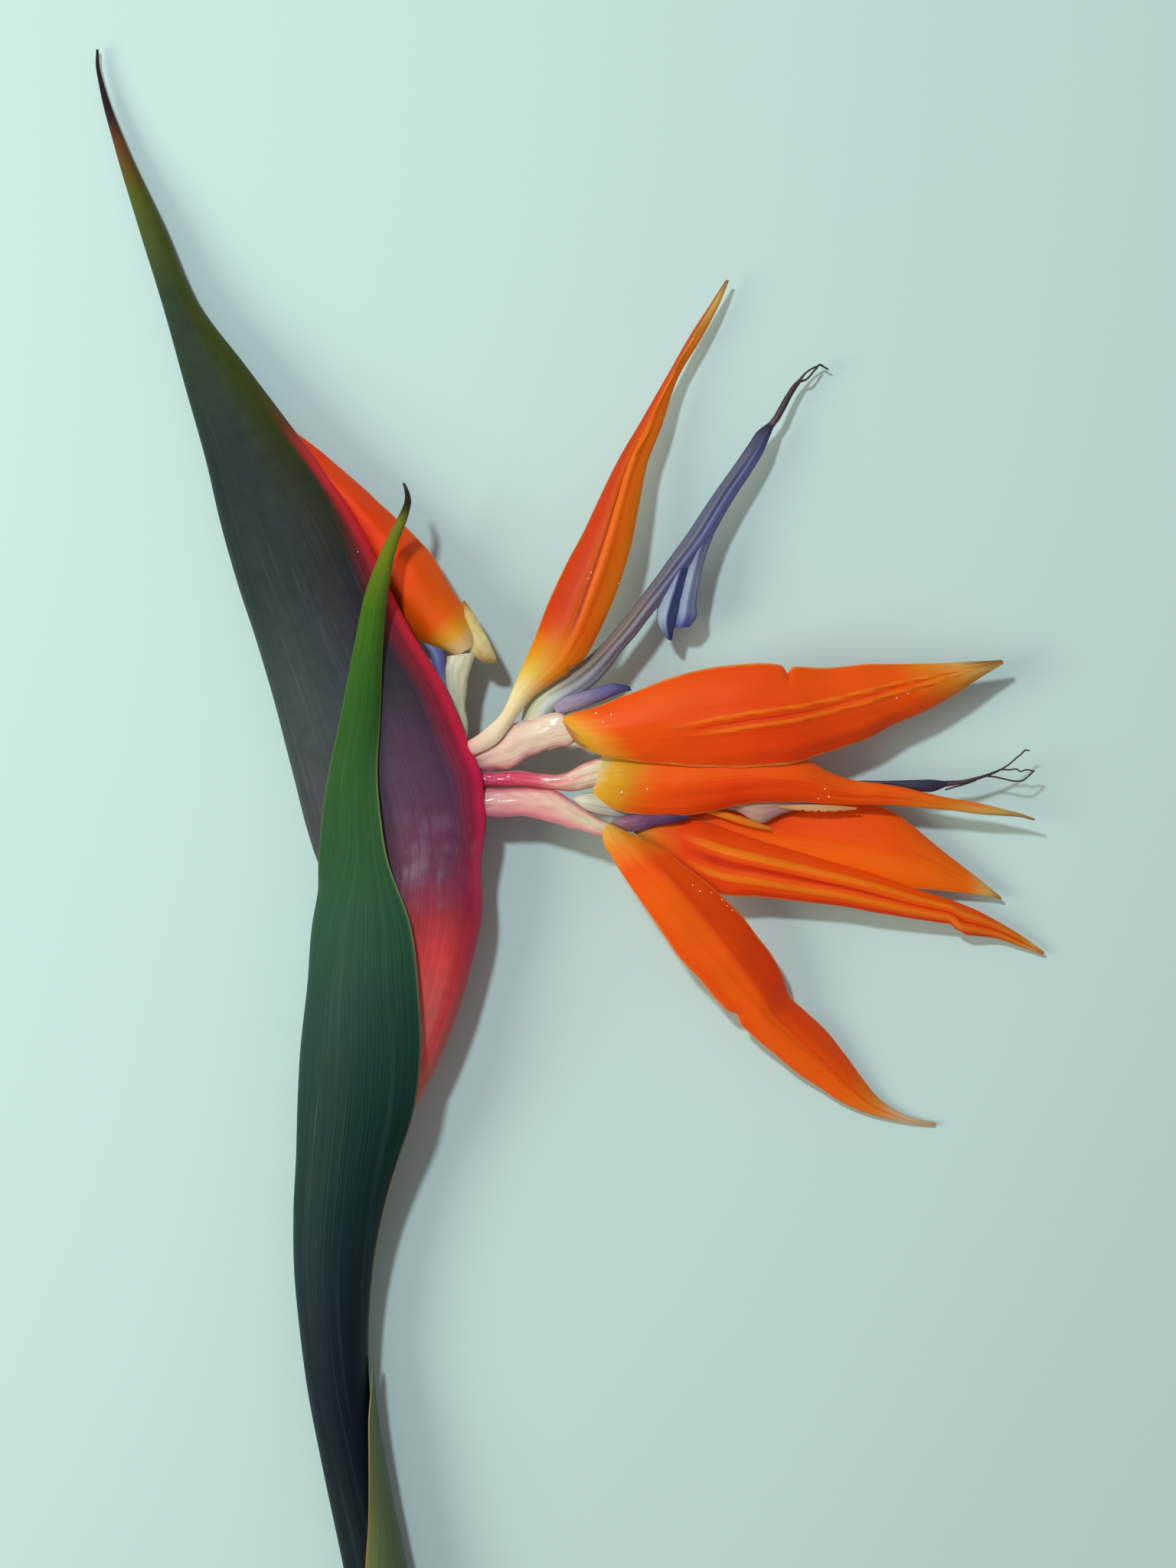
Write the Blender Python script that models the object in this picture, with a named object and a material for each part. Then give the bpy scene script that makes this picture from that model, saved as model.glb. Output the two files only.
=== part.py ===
"""A cut stem of bird of paradise flower (Strelitzia reginae), lying on its side.

Every size is in millimetres until solid() writes the mesh in metres. X runs across the stem,
Y along it towards the tip of the spathe, and Z up from the surface that the stem lies on.
The origin is the middle of the bottom of the whole flower's box.

Each leafy piece is a closed loft: a few cross-sections set by hand, with smooth ones between.
A cross-section is one ring of points. Its first half is the upper side, from left to right,
and its second half is the lower side, from right to left.
"""

import math

import bpy
import bmesh
import numpy as np

MM = 0.001
SPATHE_ROWS = 32  # cross-sections that the spathe's loft is drawn with
SHEATH_ROWS = 24
LOWER_SHEATH_ROWS = 14
PEDUNCLE_POINTS = 24
BLADE_ROWS = 13
LONG_BLADE_ROWS = 20
SHORT_BLADE_ROWS = 8
TUBE_ROWS = 8
LONG_TUBE_ROWS = 12
ARC = 11  # points along one side of the spathe's section
SHEATH_ARC = 13  # points along one side of a sheath's section
ACROSS = 7  # points across a sepal or petal
ROUND = 10  # points round a stalk

STEM_WIDTH = 8.0  # the peduncle inside its sheaths
TAPER_START = 0.8  # of the full width, at the stem's upper end
TAPER_STEP = 0.06  # of the full width, gained at each next point
SEPAL_THICK = 1.1
PETAL_THICK = 0.7
ARROW_THICK = 0.8
EDGE_THINNING = 0.6  # how much of a petal's thickness is lost at its edges
FULL_WIDTH = 5.0  # a petal narrower than this is thinner too
TIP_SHARE = 0.45  # of the thickness, which a narrow tip keeps
WALL_SHARE = 0.17  # spathe's wall as a share of its half thickness
SEAM = 4  # degrees between the two halves of a solid section's ring
SHARP_EDGE = 50  # degrees between faces above which an edge isn't shaded smooth

# Colours are linear red, green and blue.
SPATHE_GREEN = (0.045, 0.06, 0.05)
SHEATH_GREEN = (0.02, 0.09, 0.045)
LOWER_GREEN = (0.09, 0.13, 0.04)
STEM_GREEN = (0.25, 0.32, 0.16)
ORANGE = (0.85, 0.15, 0.008)
CREAM = (0.70, 0.60, 0.40)
PINK = (0.70, 0.33, 0.30)
VIOLET = (0.09, 0.08, 0.30)
DARK_VIOLET = (0.03, 0.012, 0.03)

# Spathe: keel x, y; mouth x, y; height of the mid-plane; half thickness; degrees from the keel
# to the lip; 1 where it is hollow and 0 where it is solid.
SPATHE = [
    (-93.0, 180.0, -92.5, 180.2, 1.5, 0.4, 120, 0),
    (-92.4, 173.0, -91.4, 173.4, 1.6, 0.7, 120, 0),
    (-89.2, 160.5, -87.0, 161.5, 2.0, 1.4, 125, 0),
    (-84.5, 145.0, -80.0, 146.5, 3.0, 2.6, 130, 0),
    (-79.5, 129.0, -73.3, 131.2, 4.2, 3.9, 140, 0),
    (-75.0, 113.0, -63.3, 117.8, 5.4, 5.2, 155, 1),
    (-71.0, 99.0, -53.2, 104.4, 6.6, 6.5, 160, 1),
    (-68.0, 86.5, -45.5, 94.0, 7.7, 7.6, 160, 1),
    (-64.5, 74.5, -39.5, 84.0, 8.5, 8.4, 160, 1),
    (-61.5, 65.5, -34.5, 73.0, 8.9, 8.8, 160, 1),
    (-58.9, 57.0, -30.0, 64.5, 9.2, 9.1, 160, 1),
    (-57.2, 51.0, -25.0, 56.5, 9.4, 9.3, 160, 1),
    (-55.3, 43.6, -22.0, 50.0, 9.5, 9.5, 160, 1),
    (-53.4, 36.2, -19.6, 44.0, 9.5, 9.5, 160, 1),
    (-51.4, 28.3, -17.3, 38.0, 9.5, 9.5, 160, 1),
    (-49.4, 22.0, -16.9, 33.4, 9.4, 9.4, 160, 1),
    (-47.7, 18.0, -16.6, 29.5, 9.4, 9.3, 155, 0),
    (-47.4, 10.5, -17.6, 21.0, 9.3, 9.1, 135, 0),
    (-49.0, 2.5, -17.3, 12.0, 9.2, 8.8, 120, 0),
    (-50.0, -6.0, -19.5, 1.0, 9.0, 8.3, 110, 0),
    (-50.7, -15.0, -23.0, -10.5, 8.8, 7.6, 105, 0),
    (-50.8, -23.5, -28.0, -22.0, 8.6, 6.6, 105, 0),
    (-50.0, -32.5, -34.5, -32.5, 8.4, 5.4, 105, 0),
    (-48.5, -41.0, -39.5, -42.0, 8.3, 4.3, 105, 0),
]

# Sheaths: y; x and height of the section's centre; half width; half height; first and last
# angle from straight up, positive to the right; wall.
UPPER_SHEATH = [
    (94.5, -31.6, 17.0, 0.6, 0.5, -80, 80, 0.25),
    (89.5, -32.6, 17.5, 0.9, 0.8, -85, 85, 0.4),
    (83.0, -34.8, 18.0, 1.2, 1.1, -85, 85, 0.5),
    (74.0, -37.2, 18.2, 2.2, 1.8, -75, 75, 0.7),
    (63.0, -38.9, 18.2, 3.1, 2.4, -65, 65, 0.8),
    (49.0, -40.5, 18.2, 4.6, 2.9, -58, 58, 0.8),
    (40.0, -40.5, 16.2, 7.2, 4.4, -55, 28, 0.8),
    (31.0, -36.0, 11.0, 16.0, 9.7, -48, -2, 0.8),
    (22.0, -33.0, 9.6, 17.6, 10.8, -64, -7, 0.8),
    (10.0, -33.0, 9.4, 17.2, 10.5, -112, 7, 0.8),
    (-3.0, -34.5, 9.2, 16.8, 10.2, -130, 18, 0.8),
    (-16.0, -37.5, 9.0, 15.2, 9.2, -140, 34, 0.8),
    (-26.0, -39.8, 8.8, 13.4, 8.3, -150, 45, 0.8),
    (-36.0, -42.7, 8.5, 10.8, 7.4, -165, 60, 0.8),
    (-46.0, -44.9, 8.2, 9.1, 6.9, -180, 75, 0.8),
    (-58.0, -46.1, 7.6, 7.8, 6.4, -195, 85, 0.8),
    (-70.0, -46.1, 7.3, 6.7, 6.0, -205, 95, 0.8),
    (-82.0, -45.2, 7.0, 6.0, 5.8, -210, 105, 0.8),
    (-94.0, -43.2, 6.9, 5.7, 5.7, -215, 115, 0.8),
    (-115.0, -38.9, 6.9, 5.6, 5.6, -220, 125, 0.8),
    (-140.0, -34.0, 6.8, 5.6, 5.6, -220, 125, 0.8),
    (-160.0, -29.6, 6.8, 5.6, 5.6, -220, 125, 0.8),
    (-180.0, -25.8, 6.8, 5.6, 5.6, -220, 125, 0.8),
]
LOWER_SHEATH = [
    (-74.5, -45.9, 7.1, 7.3, 6.9, 85, 95, 0.3),
    (-79.0, -45.6, 7.1, 7.3, 7.0, 74, 106, 0.6),
    (-86.0, -44.6, 7.0, 7.1, 6.9, 52, 125, 0.7),
    (-94.0, -43.2, 6.9, 7.0, 7.0, 37, 145, 0.7),
    (-105.0, -41.0, 6.9, 6.9, 6.8, 16, 165, 0.7),
    (-115.0, -38.9, 6.9, 6.9, 6.8, -7, 185, 0.7),
    (-140.0, -34.0, 6.8, 6.9, 6.8, -25, 200, 0.7),
    (-160.0, -29.6, 6.8, 6.9, 6.8, -35, 210, 0.7),
    (-180.0, -25.8, 6.8, 6.9, 6.8, -40, 215, 0.7),
]
PEDUNCLE = [
    (-44.0, -42.4, 8.3),
    (-45.2, -56.0, 7.7),
    (-46.1, -68.0, 7.3),
    (-45.3, -81.0, 7.0),
    (-43.2, -94.0, 6.9),
    (-38.9, -115.0, 6.9),
    (-34.0, -140.0, 6.8),
    (-29.6, -160.0, 6.8),
    (-25.9, -179.0, 6.8),
    (-25.8, -180.0, 6.8),
]

# Stalks and the tucked sepal: centre x, y, z; width; height.
SEPAL_1 = [
    (-55.7, 104.7, 6.7, 1.4, 0.9),
    (-50.9, 99.4, 7.1, 6.0, 2.0),
    (-44.6, 91.4, 7.9, 9.0, 2.8),
    (-37.8, 83.2, 8.5, 12.5, 3.4),
    (-30.9, 75.3, 8.9, 12.6, 3.8),
    (-25.0, 68.6, 9.1, 10.8, 3.8),
    (-21.9, 63.8, 9.2, 7.7, 3.2),
    (-21.0, 62.2, 9.2, 5.4, 2.4),
]
PEDICEL_1 = [
    (-21.4, 60.2, 9.2, 4.2, 2.4),
    (-22.0, 55.0, 9.4, 3.6, 2.4),
    (-23.4, 49.8, 9.5, 3.3, 2.4),
    (-26.0, 45.6, 9.5, 3.6, 2.8),
    (-29.0, 42.4, 9.5, 4.0, 3.2),
]
PEDICEL_2 = [
    (-23.8, 40.2, 9.5, 4.4, 3.8),
    (-21.4, 41.3, 9.6, 5.4, 4.0),
    (-18.0, 42.4, 9.8, 6.2, 4.2),
    (-12.8, 43.4, 11.3, 7.4, 4.4),
    (-6.8, 45.8, 13.3, 6.3, 3.8),
    (-1.6, 47.7, 14.8, 4.0, 3.0),
]
PEDICEL_3 = [
    (-22.6, 33.4, 9.4, 6.4, 4.0),
    (-18.0, 34.4, 9.5, 7.4, 4.4),
    (-12.8, 34.6, 10.0, 8.0, 4.6),
    (-7.5, 34.6, 10.8, 7.6, 4.2),
]
PEDICEL_3_UPPER = [
    (-11.5, 36.2, 10.3, 4.0, 3.8),
    (-6.8, 37.4, 11.4, 4.0, 3.6),
    (-0.2, 37.9, 12.4, 4.2, 3.2),
    (6.0, 36.9, 12.8, 4.6, 2.6),
]
PEDICEL_3_LOWER = [
    (-11.5, 33.0, 10.0, 4.4, 3.8),
    (-6.1, 32.0, 10.8, 4.2, 3.6),
    (0.6, 29.9, 11.8, 3.9, 3.2),
    (6.6, 27.9, 12.4, 3.2, 2.4),
]

# Sepals and petals: centre x, y, z of the two edges; width; rise of the middle above the
# edges; how much higher the right edge is than the left one, looking towards the tip.
SEPAL_2_UPRIGHT = [
    (-15.6, 45.2, 13.7, 2.4, 0.4, 0.0),
    (-11.7, 50.2, 13.8, 3.4, 0.6, 0.0),
    (-8.4, 55.8, 13.8, 4.2, 0.8, 0.2),
    (-4.2, 60.4, 13.3, 9.4, 1.6, 0.2),
    (-0.2, 67.0, 12.3, 12.3, 1.9, 0.2),
    (4.1, 77.1, 10.8, 12.0, 2.0, 0.0),
    (8.3, 88.9, 8.8, 9.0, 1.6, 0.0),
    (12.9, 101.1, 6.8, 5.2, 1.2, 0.0),
    (18.2, 113.1, 5.2, 3.0, 0.8, 0.0),
    (24.7, 124.8, 4.2, 1.8, 0.4, 0.0),
    (30.4, 134.9, 3.4, 0.6, 0.1, 0.0),
]
SEPAL_2_BROAD = [
    (-0.4, 48.5, 15.0, 4.0, 0.6, 0.0),
    (5.3, 47.3, 15.2, 9.0, 1.6, 0.0),
    (13.4, 47.7, 15.4, 14.5, 2.4, 0.4),
    (24.6, 48.8, 15.1, 18.5, 2.3, 1.0),
    (36.9, 49.9, 14.0, 20.0, 2.4, 1.6),
    (50.0, 51.1, 11.7, 16.0, 2.7, 1.4),
    (62.1, 53.7, 9.7, 12.0, 2.3, 1.0),
    (73.1, 56.7, 8.2, 6.5, 1.4, 0.4),
    (83.6, 60.3, 6.9, 0.7, 0.1, 0.0),
]
SEPAL_2_BACK = [
    (2.5, 32.6, 8.8, 2.2, 0.3, 0.0),
    (10.0, 31.8, 7.8, 3.4, 0.4, 0.0),
    (20.3, 30.5, 6.6, 7.0, 1.1, -0.2),
    (35.2, 28.6, 5.2, 11.0, 1.4, -0.4),
    (50.5, 26.4, 4.3, 14.5, 1.5, -0.6),
    (62.1, 24.3, 3.7, 15.5, 1.7, -1.0),
    (70.7, 20.7, 3.1, 10.0, 1.3, -0.6),
    (77.8, 17.0, 2.3, 3.9, 0.5, -0.2),
    (83.8, 14.4, 1.8, 0.6, 0.1, 0.0),
]
SEPAL_3_ROLLED = [
    (6.9, 36.0, 12.2, 8.0, 1.4, 0.0),
    (14.3, 36.3, 11.5, 11.5, 2.7, 0.2),
    (26.5, 37.3, 10.8, 12.0, 3.0, 0.0),
    (38.1, 37.6, 10.2, 10.5, 2.8, 0.0),
    (48.8, 36.0, 9.4, 6.8, 2.0, 0.0),
    (60.3, 34.2, 8.8, 3.4, 1.0, 0.0),
    (75.3, 32.1, 7.8, 2.5, 0.6, 0.0),
    (89.9, 29.8, 6.6, 0.7, 0.2, 0.0),
]
SEPAL_3_MIDDLE = [
    (8.2, 28.6, 9.6, 2.4, 0.3, -0.2),
    (13.0, 27.6, 9.3, 5.0, 0.5, -0.6),
    (19.3, 25.2, 8.9, 10.0, 1.2, -1.2),
    (28.1, 21.6, 8.0, 13.5, 1.7, -1.4),
    (44.2, 18.5, 6.7, 9.5, 2.1, -1.4),
    (55.3, 15.8, 6.1, 7.5, 1.9, -1.4),
    (66.2, 13.2, 5.0, 6.0, 1.4, -1.2),
    (75.8, 10.8, 3.6, 7.5, 1.2, -1.6),
    (82.5, 8.2, 2.3, 4.0, 0.6, -0.6),
    (92.5, 3.3, 1.0, 0.6, 0.1, 0.0),
]
SEPAL_3_LOWER = [
    (8.0, 27.3, 12.5, 2.8, 0.5, -0.2),
    (12.7, 22.5, 12.6, 8.5, 1.2, -1.2),
    (19.3, 15.9, 11.7, 11.6, 1.7, -1.8),
    (25.5, 8.8, 9.7, 13.2, 2.3, -1.8),
    (32.8, 0.3, 7.1, 12.6, 2.5, -1.4),
    (38.8, -7.9, 4.7, 10.0, 2.5, -1.4),
    (46.2, -14.8, 2.7, 9.4, 2.3, -1.4),
    (53.8, -22.5, 1.4, 6.5, 1.4, -0.8),
    (62.4, -27.8, 0.8, 2.9, 0.4, -0.1),
    (70.9, -30.0, 0.3, 0.9, 0.0, 0.0),
]
PETAL_1 = [
    (-25.4, 61.6, 10.4, 1.0, 0.1, 0.0),
    (-25.8, 60.0, 10.6, 2.4, 0.4, 0.2),
    (-25.4, 57.1, 10.7, 2.2, 0.4, 0.2),
    (-24.6, 53.4, 10.6, 1.2, 0.3, 0.2),
]
NECTARY_2 = [
    (-4.4, 51.3, 13.2, 2.0, 0.3, 0.0),
    (1.7, 53.4, 13.3, 3.6, 0.7, 0.2),
    (7.2, 54.6, 13.2, 3.4, 0.7, 0.4),
    (11.6, 55.2, 13.0, 1.0, 0.2, 0.0),
]
NECTARY_3 = [
    (7.8, 30.6, 10.9, 1.4, 0.3, 0.0),
    (12.7, 29.6, 10.8, 3.2, 0.4, 0.2),
    (18.6, 29.8, 10.6, 2.6, 0.4, 0.2),
    (22.8, 30.1, 10.4, 1.0, 0.2, 0.0),
]
ARROW_2 = [
    (-7.8, 49.6, 11.2, 3.6, 0.8, 0.0),
    (-1.6, 54.3, 10.8, 6.0, 0.9, 0.0),
    (4.4, 59.4, 10.0, 5.6, 0.9, 0.0),
    (10.6, 66.4, 9.2, 4.2, 0.8, 0.0),
    (16.3, 71.3, 8.6, 4.0, 0.6, 0.0),
    (21.9, 77.2, 8.0, 6.6, 1.2, 0.0),
    (26.7, 87.3, 7.2, 5.2, 1.0, 0.0),
    (31.8, 96.0, 6.2, 4.0, 0.8, 0.0),
    (35.7, 102.4, 5.2, 2.9, 0.6, 0.0),
    (38.0, 105.6, 4.6, 1.2, 0.2, 0.0),
]
ARROW_2_LEFT_BARB = [
    (19.3, 64.0, 7.9, 1.3, 0.0, 0.0),
    (18.5, 67.5, 8.3, 2.7, 0.1, 0.2),
    (18.1, 71.7, 8.6, 5.0, 0.4, 0.4),
    (20.6, 76.8, 8.5, 3.9, 0.5, 0.6),
]
ARROW_2_RIGHT_BARB = [
    (22.6, 66.8, 7.9, 2.0, 0.0, 0.0),
    (22.6, 69.0, 8.2, 3.7, 0.2, -0.1),
    (22.5, 72.6, 8.5, 5.0, 0.5, -0.2),
    (23.1, 76.8, 8.3, 3.6, 0.5, -0.2),
]
ARROW_3 = [
    (-2.6, 34.3, 11.3, 1.4, 0.3, 0.0),
    (4.9, 33.4, 11.0, 2.4, 0.5, 0.0),
    (10.9, 33.4, 10.0, 2.8, 0.7, 0.0),
    (22.8, 33.8, 8.8, 2.7, 0.6, 0.0),
    (31.8, 34.1, 8.1, 3.3, 0.7, 0.0),
    (39.2, 34.3, 7.6, 9.2, 0.9, 0.0),
    (46.7, 36.0, 7.5, 6.5, 0.8, 0.0),
    (54.1, 36.3, 7.3, 3.6, 0.6, 0.0),
    (61.5, 36.9, 7.2, 2.0, 0.4, 0.0),
    (72.9, 36.9, 7.0, 1.2, 0.2, 0.0),
]

# Styles: centre lines of their threads, the main one first.
STYLE_WIDTH = 0.8
BRANCH_WIDTH = 0.5
STYLE_2 = [
    [(38.3, 106.0, 4.6), (39.6, 107.9, 4.3), (41.6, 111.6, 3.8), (44.9, 115.4, 3.2)],
    [(44.4, 114.9, 3.3), (47.2, 117.3, 2.8), (49.0, 118.3, 2.4), (50.2, 117.4, 2.0)],
    [(43.6, 114.0, 3.4), (45.2, 115.9, 3.5), (46.9, 117.4, 3.5), (48.1, 118.6, 3.4)],
]
STYLE_3 = [
    [(73.6, 36.9, 7.0), (76.8, 37.4, 6.9), (82.0, 38.6, 6.6)],
    [(81.4, 38.5, 6.6), (84.2, 40.4, 6.6), (86.9, 42.3, 6.6), (88.6, 43.3, 6.5), (89.5, 42.7, 6.3)],
    [(81.4, 38.5, 6.6), (84.3, 39.3, 6.4), (87.1, 39.4, 6.3), (89.9, 39.3, 6.2)],
    [(81.4, 38.4, 6.6), (84.6, 37.7, 6.3), (87.4, 37.2, 6.2), (89.6, 38.2, 6.1)],
]


def clear_scene():
    for thing in list(bpy.data.objects):
        bpy.data.objects.remove(thing, do_unlink=True)


def collection(name):
    found = bpy.data.collections.new(name)
    bpy.context.scene.collection.children.link(found)
    return found


def plain_material(name, colour, roughness):
    material = bpy.data.materials.new(name)
    material.use_nodes = True
    shader = material.node_tree.nodes["Principled BSDF"]
    shader.inputs["Base Color"].default_value = (*colour, 1)
    shader.inputs["Roughness"].default_value = roughness
    shader.inputs["Metallic"].default_value = 0
    return material


def smooth(stations, count):
    """count evenly spaced rows on a smooth curve through the stations, whatever they hold."""
    stations = np.array(stations, float)
    flat = stations.reshape(len(stations), -1)
    steps = np.linalg.norm(np.diff(flat, axis=0), axis=1)
    reach = np.concatenate(([0], np.cumsum(steps)))
    slope = np.gradient(flat, reach, axis=0)
    wanted = np.linspace(0, reach[-1], count)
    k = np.clip(np.searchsorted(reach, wanted, side="right") - 1, 0, len(reach) - 2)
    span = (reach[k + 1] - reach[k])[:, None]
    t = (wanted - reach[k])[:, None] / span
    rows = (1 + 2 * t) * (1 - t) ** 2 * flat[k] + t * (1 - t) ** 2 * span * slope[k]
    rows += t**2 * (3 - 2 * t) * flat[k + 1] + t**2 * (t - 1) * span * slope[k + 1]
    return rows.reshape(count, *stations.shape[1:])


def unit(vectors):
    return vectors / np.linalg.norm(vectors, axis=-1, keepdims=True)


def sideways(centre):
    """Level unit vectors to the right of a centre line, looking along it."""
    along = np.gradient(centre, axis=0)
    return unit(np.stack([along[:, 1], -along[:, 0], np.zeros(len(along))], axis=1))


def solid(name, rings, material):
    """One closed body through the rings, with each end closed by a strip of faces."""
    count, around = rings.shape[:2]
    faces = []
    for row in range(count - 1):
        for k in range(around):
            a, b = row * around + k, row * around + (k + 1) % around
            faces.append((a, b, b + around, a + around))
    for start in (0, (count - 1) * around):
        for k in range(around // 2 - 1):
            m = around - 1 - k
            faces.append((start + k, start + k + 1, start + m - 1, start + m))
    mesh = bpy.data.meshes.new(name)
    mesh.from_pydata((rings.reshape(-1, 3) * MM).tolist(), [], faces)
    return place(name, mesh, material)


def place(name, mesh, material):
    """An object for the mesh, with its faces turned outwards and shaded smooth."""
    shell = bmesh.new()
    shell.from_mesh(mesh)
    bmesh.ops.recalc_face_normals(shell, faces=shell.faces)
    shell.to_mesh(mesh)
    shell.free()
    mesh.shade_smooth()
    mesh.set_sharp_from_angle(angle=math.radians(SHARP_EDGE))
    mesh.materials.append(material)
    piece = bpy.data.objects.new(name, mesh)
    FLOWER.objects.link(piece)
    return piece


def join(piece, others):
    """A Boolean union that makes the piece and the others one body."""
    for other in others:
        FLOWER.objects.unlink(other)
        CUTTERS.objects.link(other)
        other.hide_render = True
        other.display_type = "WIRE"
        union = piece.modifiers.new("join " + other.name, "BOOLEAN")
        union.operation = "UNION"
        union.solver = "EXACT"
        union.object = other
    return piece


def blade(name, stations, thick, material, rows=BLADE_ROWS):
    """A sepal or petal: arched across its width, and thinner towards its edges and tip."""
    table = smooth(stations, rows)
    centre = table[:, :3]
    width, rise, tilt = (column[:, None] for column in table[:, 3:].T)
    across = np.linspace(-1, 1, ACROSS)
    middle = centre[:, None] + sideways(centre)[:, None] * (across * width / 2)[..., None]
    middle[..., 2] += rise * (1 - across**2) + tilt * across / 2
    normal = unit(np.cross(np.gradient(middle, axis=0), np.gradient(middle, axis=1)))
    normal *= -np.sign(normal[..., 2:])
    half = thick / 2 * (1 - EDGE_THINNING * across**2) * np.clip(width / FULL_WIDTH, TIP_SHARE, 1)
    offset = normal * half[..., None]
    rings = np.concatenate([middle - offset, (middle + offset)[:, ::-1]], axis=1)
    return solid(name, rings, material)


def stalk(name, stations, material, rows=TUBE_ROWS):
    """A stalk with an oval section, set square to its centre line."""
    table = smooth(stations, rows)
    centre = table[:, :3]
    width, height = (column[:, None, None] for column in table[:, 3:].T)
    side = sideways(centre)
    up = unit(np.cross(side, np.gradient(centre, axis=0)))
    angle = (np.arange(ROUND) + 0.5) * 2 * math.pi / ROUND
    rings = centre[:, None] - side[:, None] * (np.cos(angle)[:, None] * width / 2)
    rings = rings + up[:, None] * (np.sin(angle)[:, None] * height / 2)
    return solid(name, rings, material)


def sheath(name, stations, material, rows):
    """A bract rolled round the stem: an open arc of an oval, with a wall all along."""
    rings = []
    for y, x, z, half_width, half_height, first, last, wall in stations:
        angle = np.radians(np.linspace(first, last, SHEATH_ARC))
        outer = [half_width * np.sin(angle) + x, 0 * angle + y, half_height * np.cos(angle) + z]
        inner = [
            (half_width - wall) * np.sin(angle) + x,
            0 * angle + y,
            (half_height - wall) * np.cos(angle) + z,
        ]
        rings.append(np.concatenate([np.array(outer).T, np.array(inner).T[::-1]]))
    return solid(name, smooth(rings, rows), material)


def spathe_ring(keel_x, keel_y, mouth_x, mouth_y, z, half, lip, hollow):
    """A section of the boat: round the keel from lip to lip, then back through the hollow."""
    keel = np.array([keel_x, keel_y, z])
    reach = np.array([mouth_x - keel_x, mouth_y - keel_y, 0])
    if hollow:  # the lips, and not the oval's far end, lie at the mouth
        reach = reach * 2 / (1 - math.cos(math.radians(lip)))
    depth = np.linalg.norm(reach)
    wall = WALL_SHARE * half

    def oval(degrees, inset):
        angle = np.radians(degrees)[:, None]
        share = inset / depth + (1 - inset / depth) * (1 - np.cos(angle)) / 2
        return keel + reach * share + np.array([0, 0, half - inset]) * np.sin(angle)

    outer = oval(np.linspace(lip, -lip, ARC), 0)
    if hollow:
        inner = oval(np.linspace(-lip, lip, ARC), wall)
    else:
        inner = oval(np.linspace(-lip - SEAM, lip + SEAM - 360, ARC), 0)
    return np.concatenate([outer, inner])


def spathe():
    rings = [spathe_ring(*station) for station in SPATHE]
    green = plain_material("spathe", SPATHE_GREEN, 0.45)
    return solid("spathe", smooth(rings, SPATHE_ROWS), green)


def peduncle():
    """The stem itself: a round curve inside the sheaths, tapered into the spathe."""
    points = smooth(PEDUNCLE, PEDUNCLE_POINTS)
    curve = bpy.data.curves.new("peduncle", "CURVE")
    curve.dimensions = "3D"
    curve.bevel_depth = STEM_WIDTH / 2 * MM
    curve.bevel_resolution = 3
    curve.use_fill_caps = True
    line = curve.splines.new("POLY")
    line.points.add(len(points) - 1)
    for k, point in enumerate(points):
        line.points[k].co = (*(point * MM), 1)
        line.points[k].radius = min(1, TAPER_START + TAPER_STEP * k)
    stem = bpy.data.objects.new("peduncle", curve)
    FLOWER.objects.link(stem)
    curve.materials.append(plain_material("peduncle", STEM_GREEN, 0.5))
    return stem


def style(name, threads, material):
    """The style and the stigma's threads at its end."""
    pieces = []
    for k, points in enumerate(threads):
        width = BRANCH_WIDTH if k else STYLE_WIDTH
        stations = [(*point, width, width) for point in points]
        pieces.append(stalk(f"{name}_thread_{k}" if k else name, stations, material))
    return join(pieces[0], pieces[1:])


def arrow_2(material):
    barbs = [
        blade("left_barb", ARROW_2_LEFT_BARB, PETAL_THICK, material, SHORT_BLADE_ROWS),
        blade("right_barb", ARROW_2_RIGHT_BARB, PETAL_THICK, material, SHORT_BLADE_ROWS),
    ]
    arrow = blade("arrow_petals_2", ARROW_2, ARROW_THICK, material, LONG_BLADE_ROWS)
    return join(arrow, barbs)


def flower_1(orange, cream, violet):
    stalk("sepal_1_tucked", SEPAL_1, orange, LONG_TUBE_ROWS)
    stalk("pedicel_1", PEDICEL_1, cream)
    blade("petal_1", PETAL_1, PETAL_THICK, violet, SHORT_BLADE_ROWS)


def flower_2(orange, pink, violet, dark):
    stalk("pedicel_2", PEDICEL_2, pink, LONG_TUBE_ROWS)
    blade("sepal_2_upright", SEPAL_2_UPRIGHT, SEPAL_THICK, orange, LONG_BLADE_ROWS)
    blade("sepal_2_broad", SEPAL_2_BROAD, SEPAL_THICK, orange)
    blade("sepal_2_back", SEPAL_2_BACK, SEPAL_THICK, orange)
    blade("nectary_petal_2", NECTARY_2, PETAL_THICK, violet, SHORT_BLADE_ROWS)
    arrow_2(violet)
    style("style_2", STYLE_2, dark)


def flower_3(orange, pink, violet, dark):
    strands = [
        stalk("upper_strand", PEDICEL_3_UPPER, pink),
        stalk("lower_strand", PEDICEL_3_LOWER, pink),
    ]
    join(stalk("pedicel_3", PEDICEL_3, pink), strands)
    blade("sepal_3_rolled", SEPAL_3_ROLLED, SEPAL_THICK, orange)
    blade("sepal_3_middle", SEPAL_3_MIDDLE, SEPAL_THICK, orange)
    blade("sepal_3_lower", SEPAL_3_LOWER, SEPAL_THICK, orange)
    blade("nectary_petal_3", NECTARY_3, PETAL_THICK, violet, SHORT_BLADE_ROWS)
    blade("arrow_petals_3", ARROW_3, PETAL_THICK, violet)
    style("style_3", STYLE_3, dark)


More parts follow.
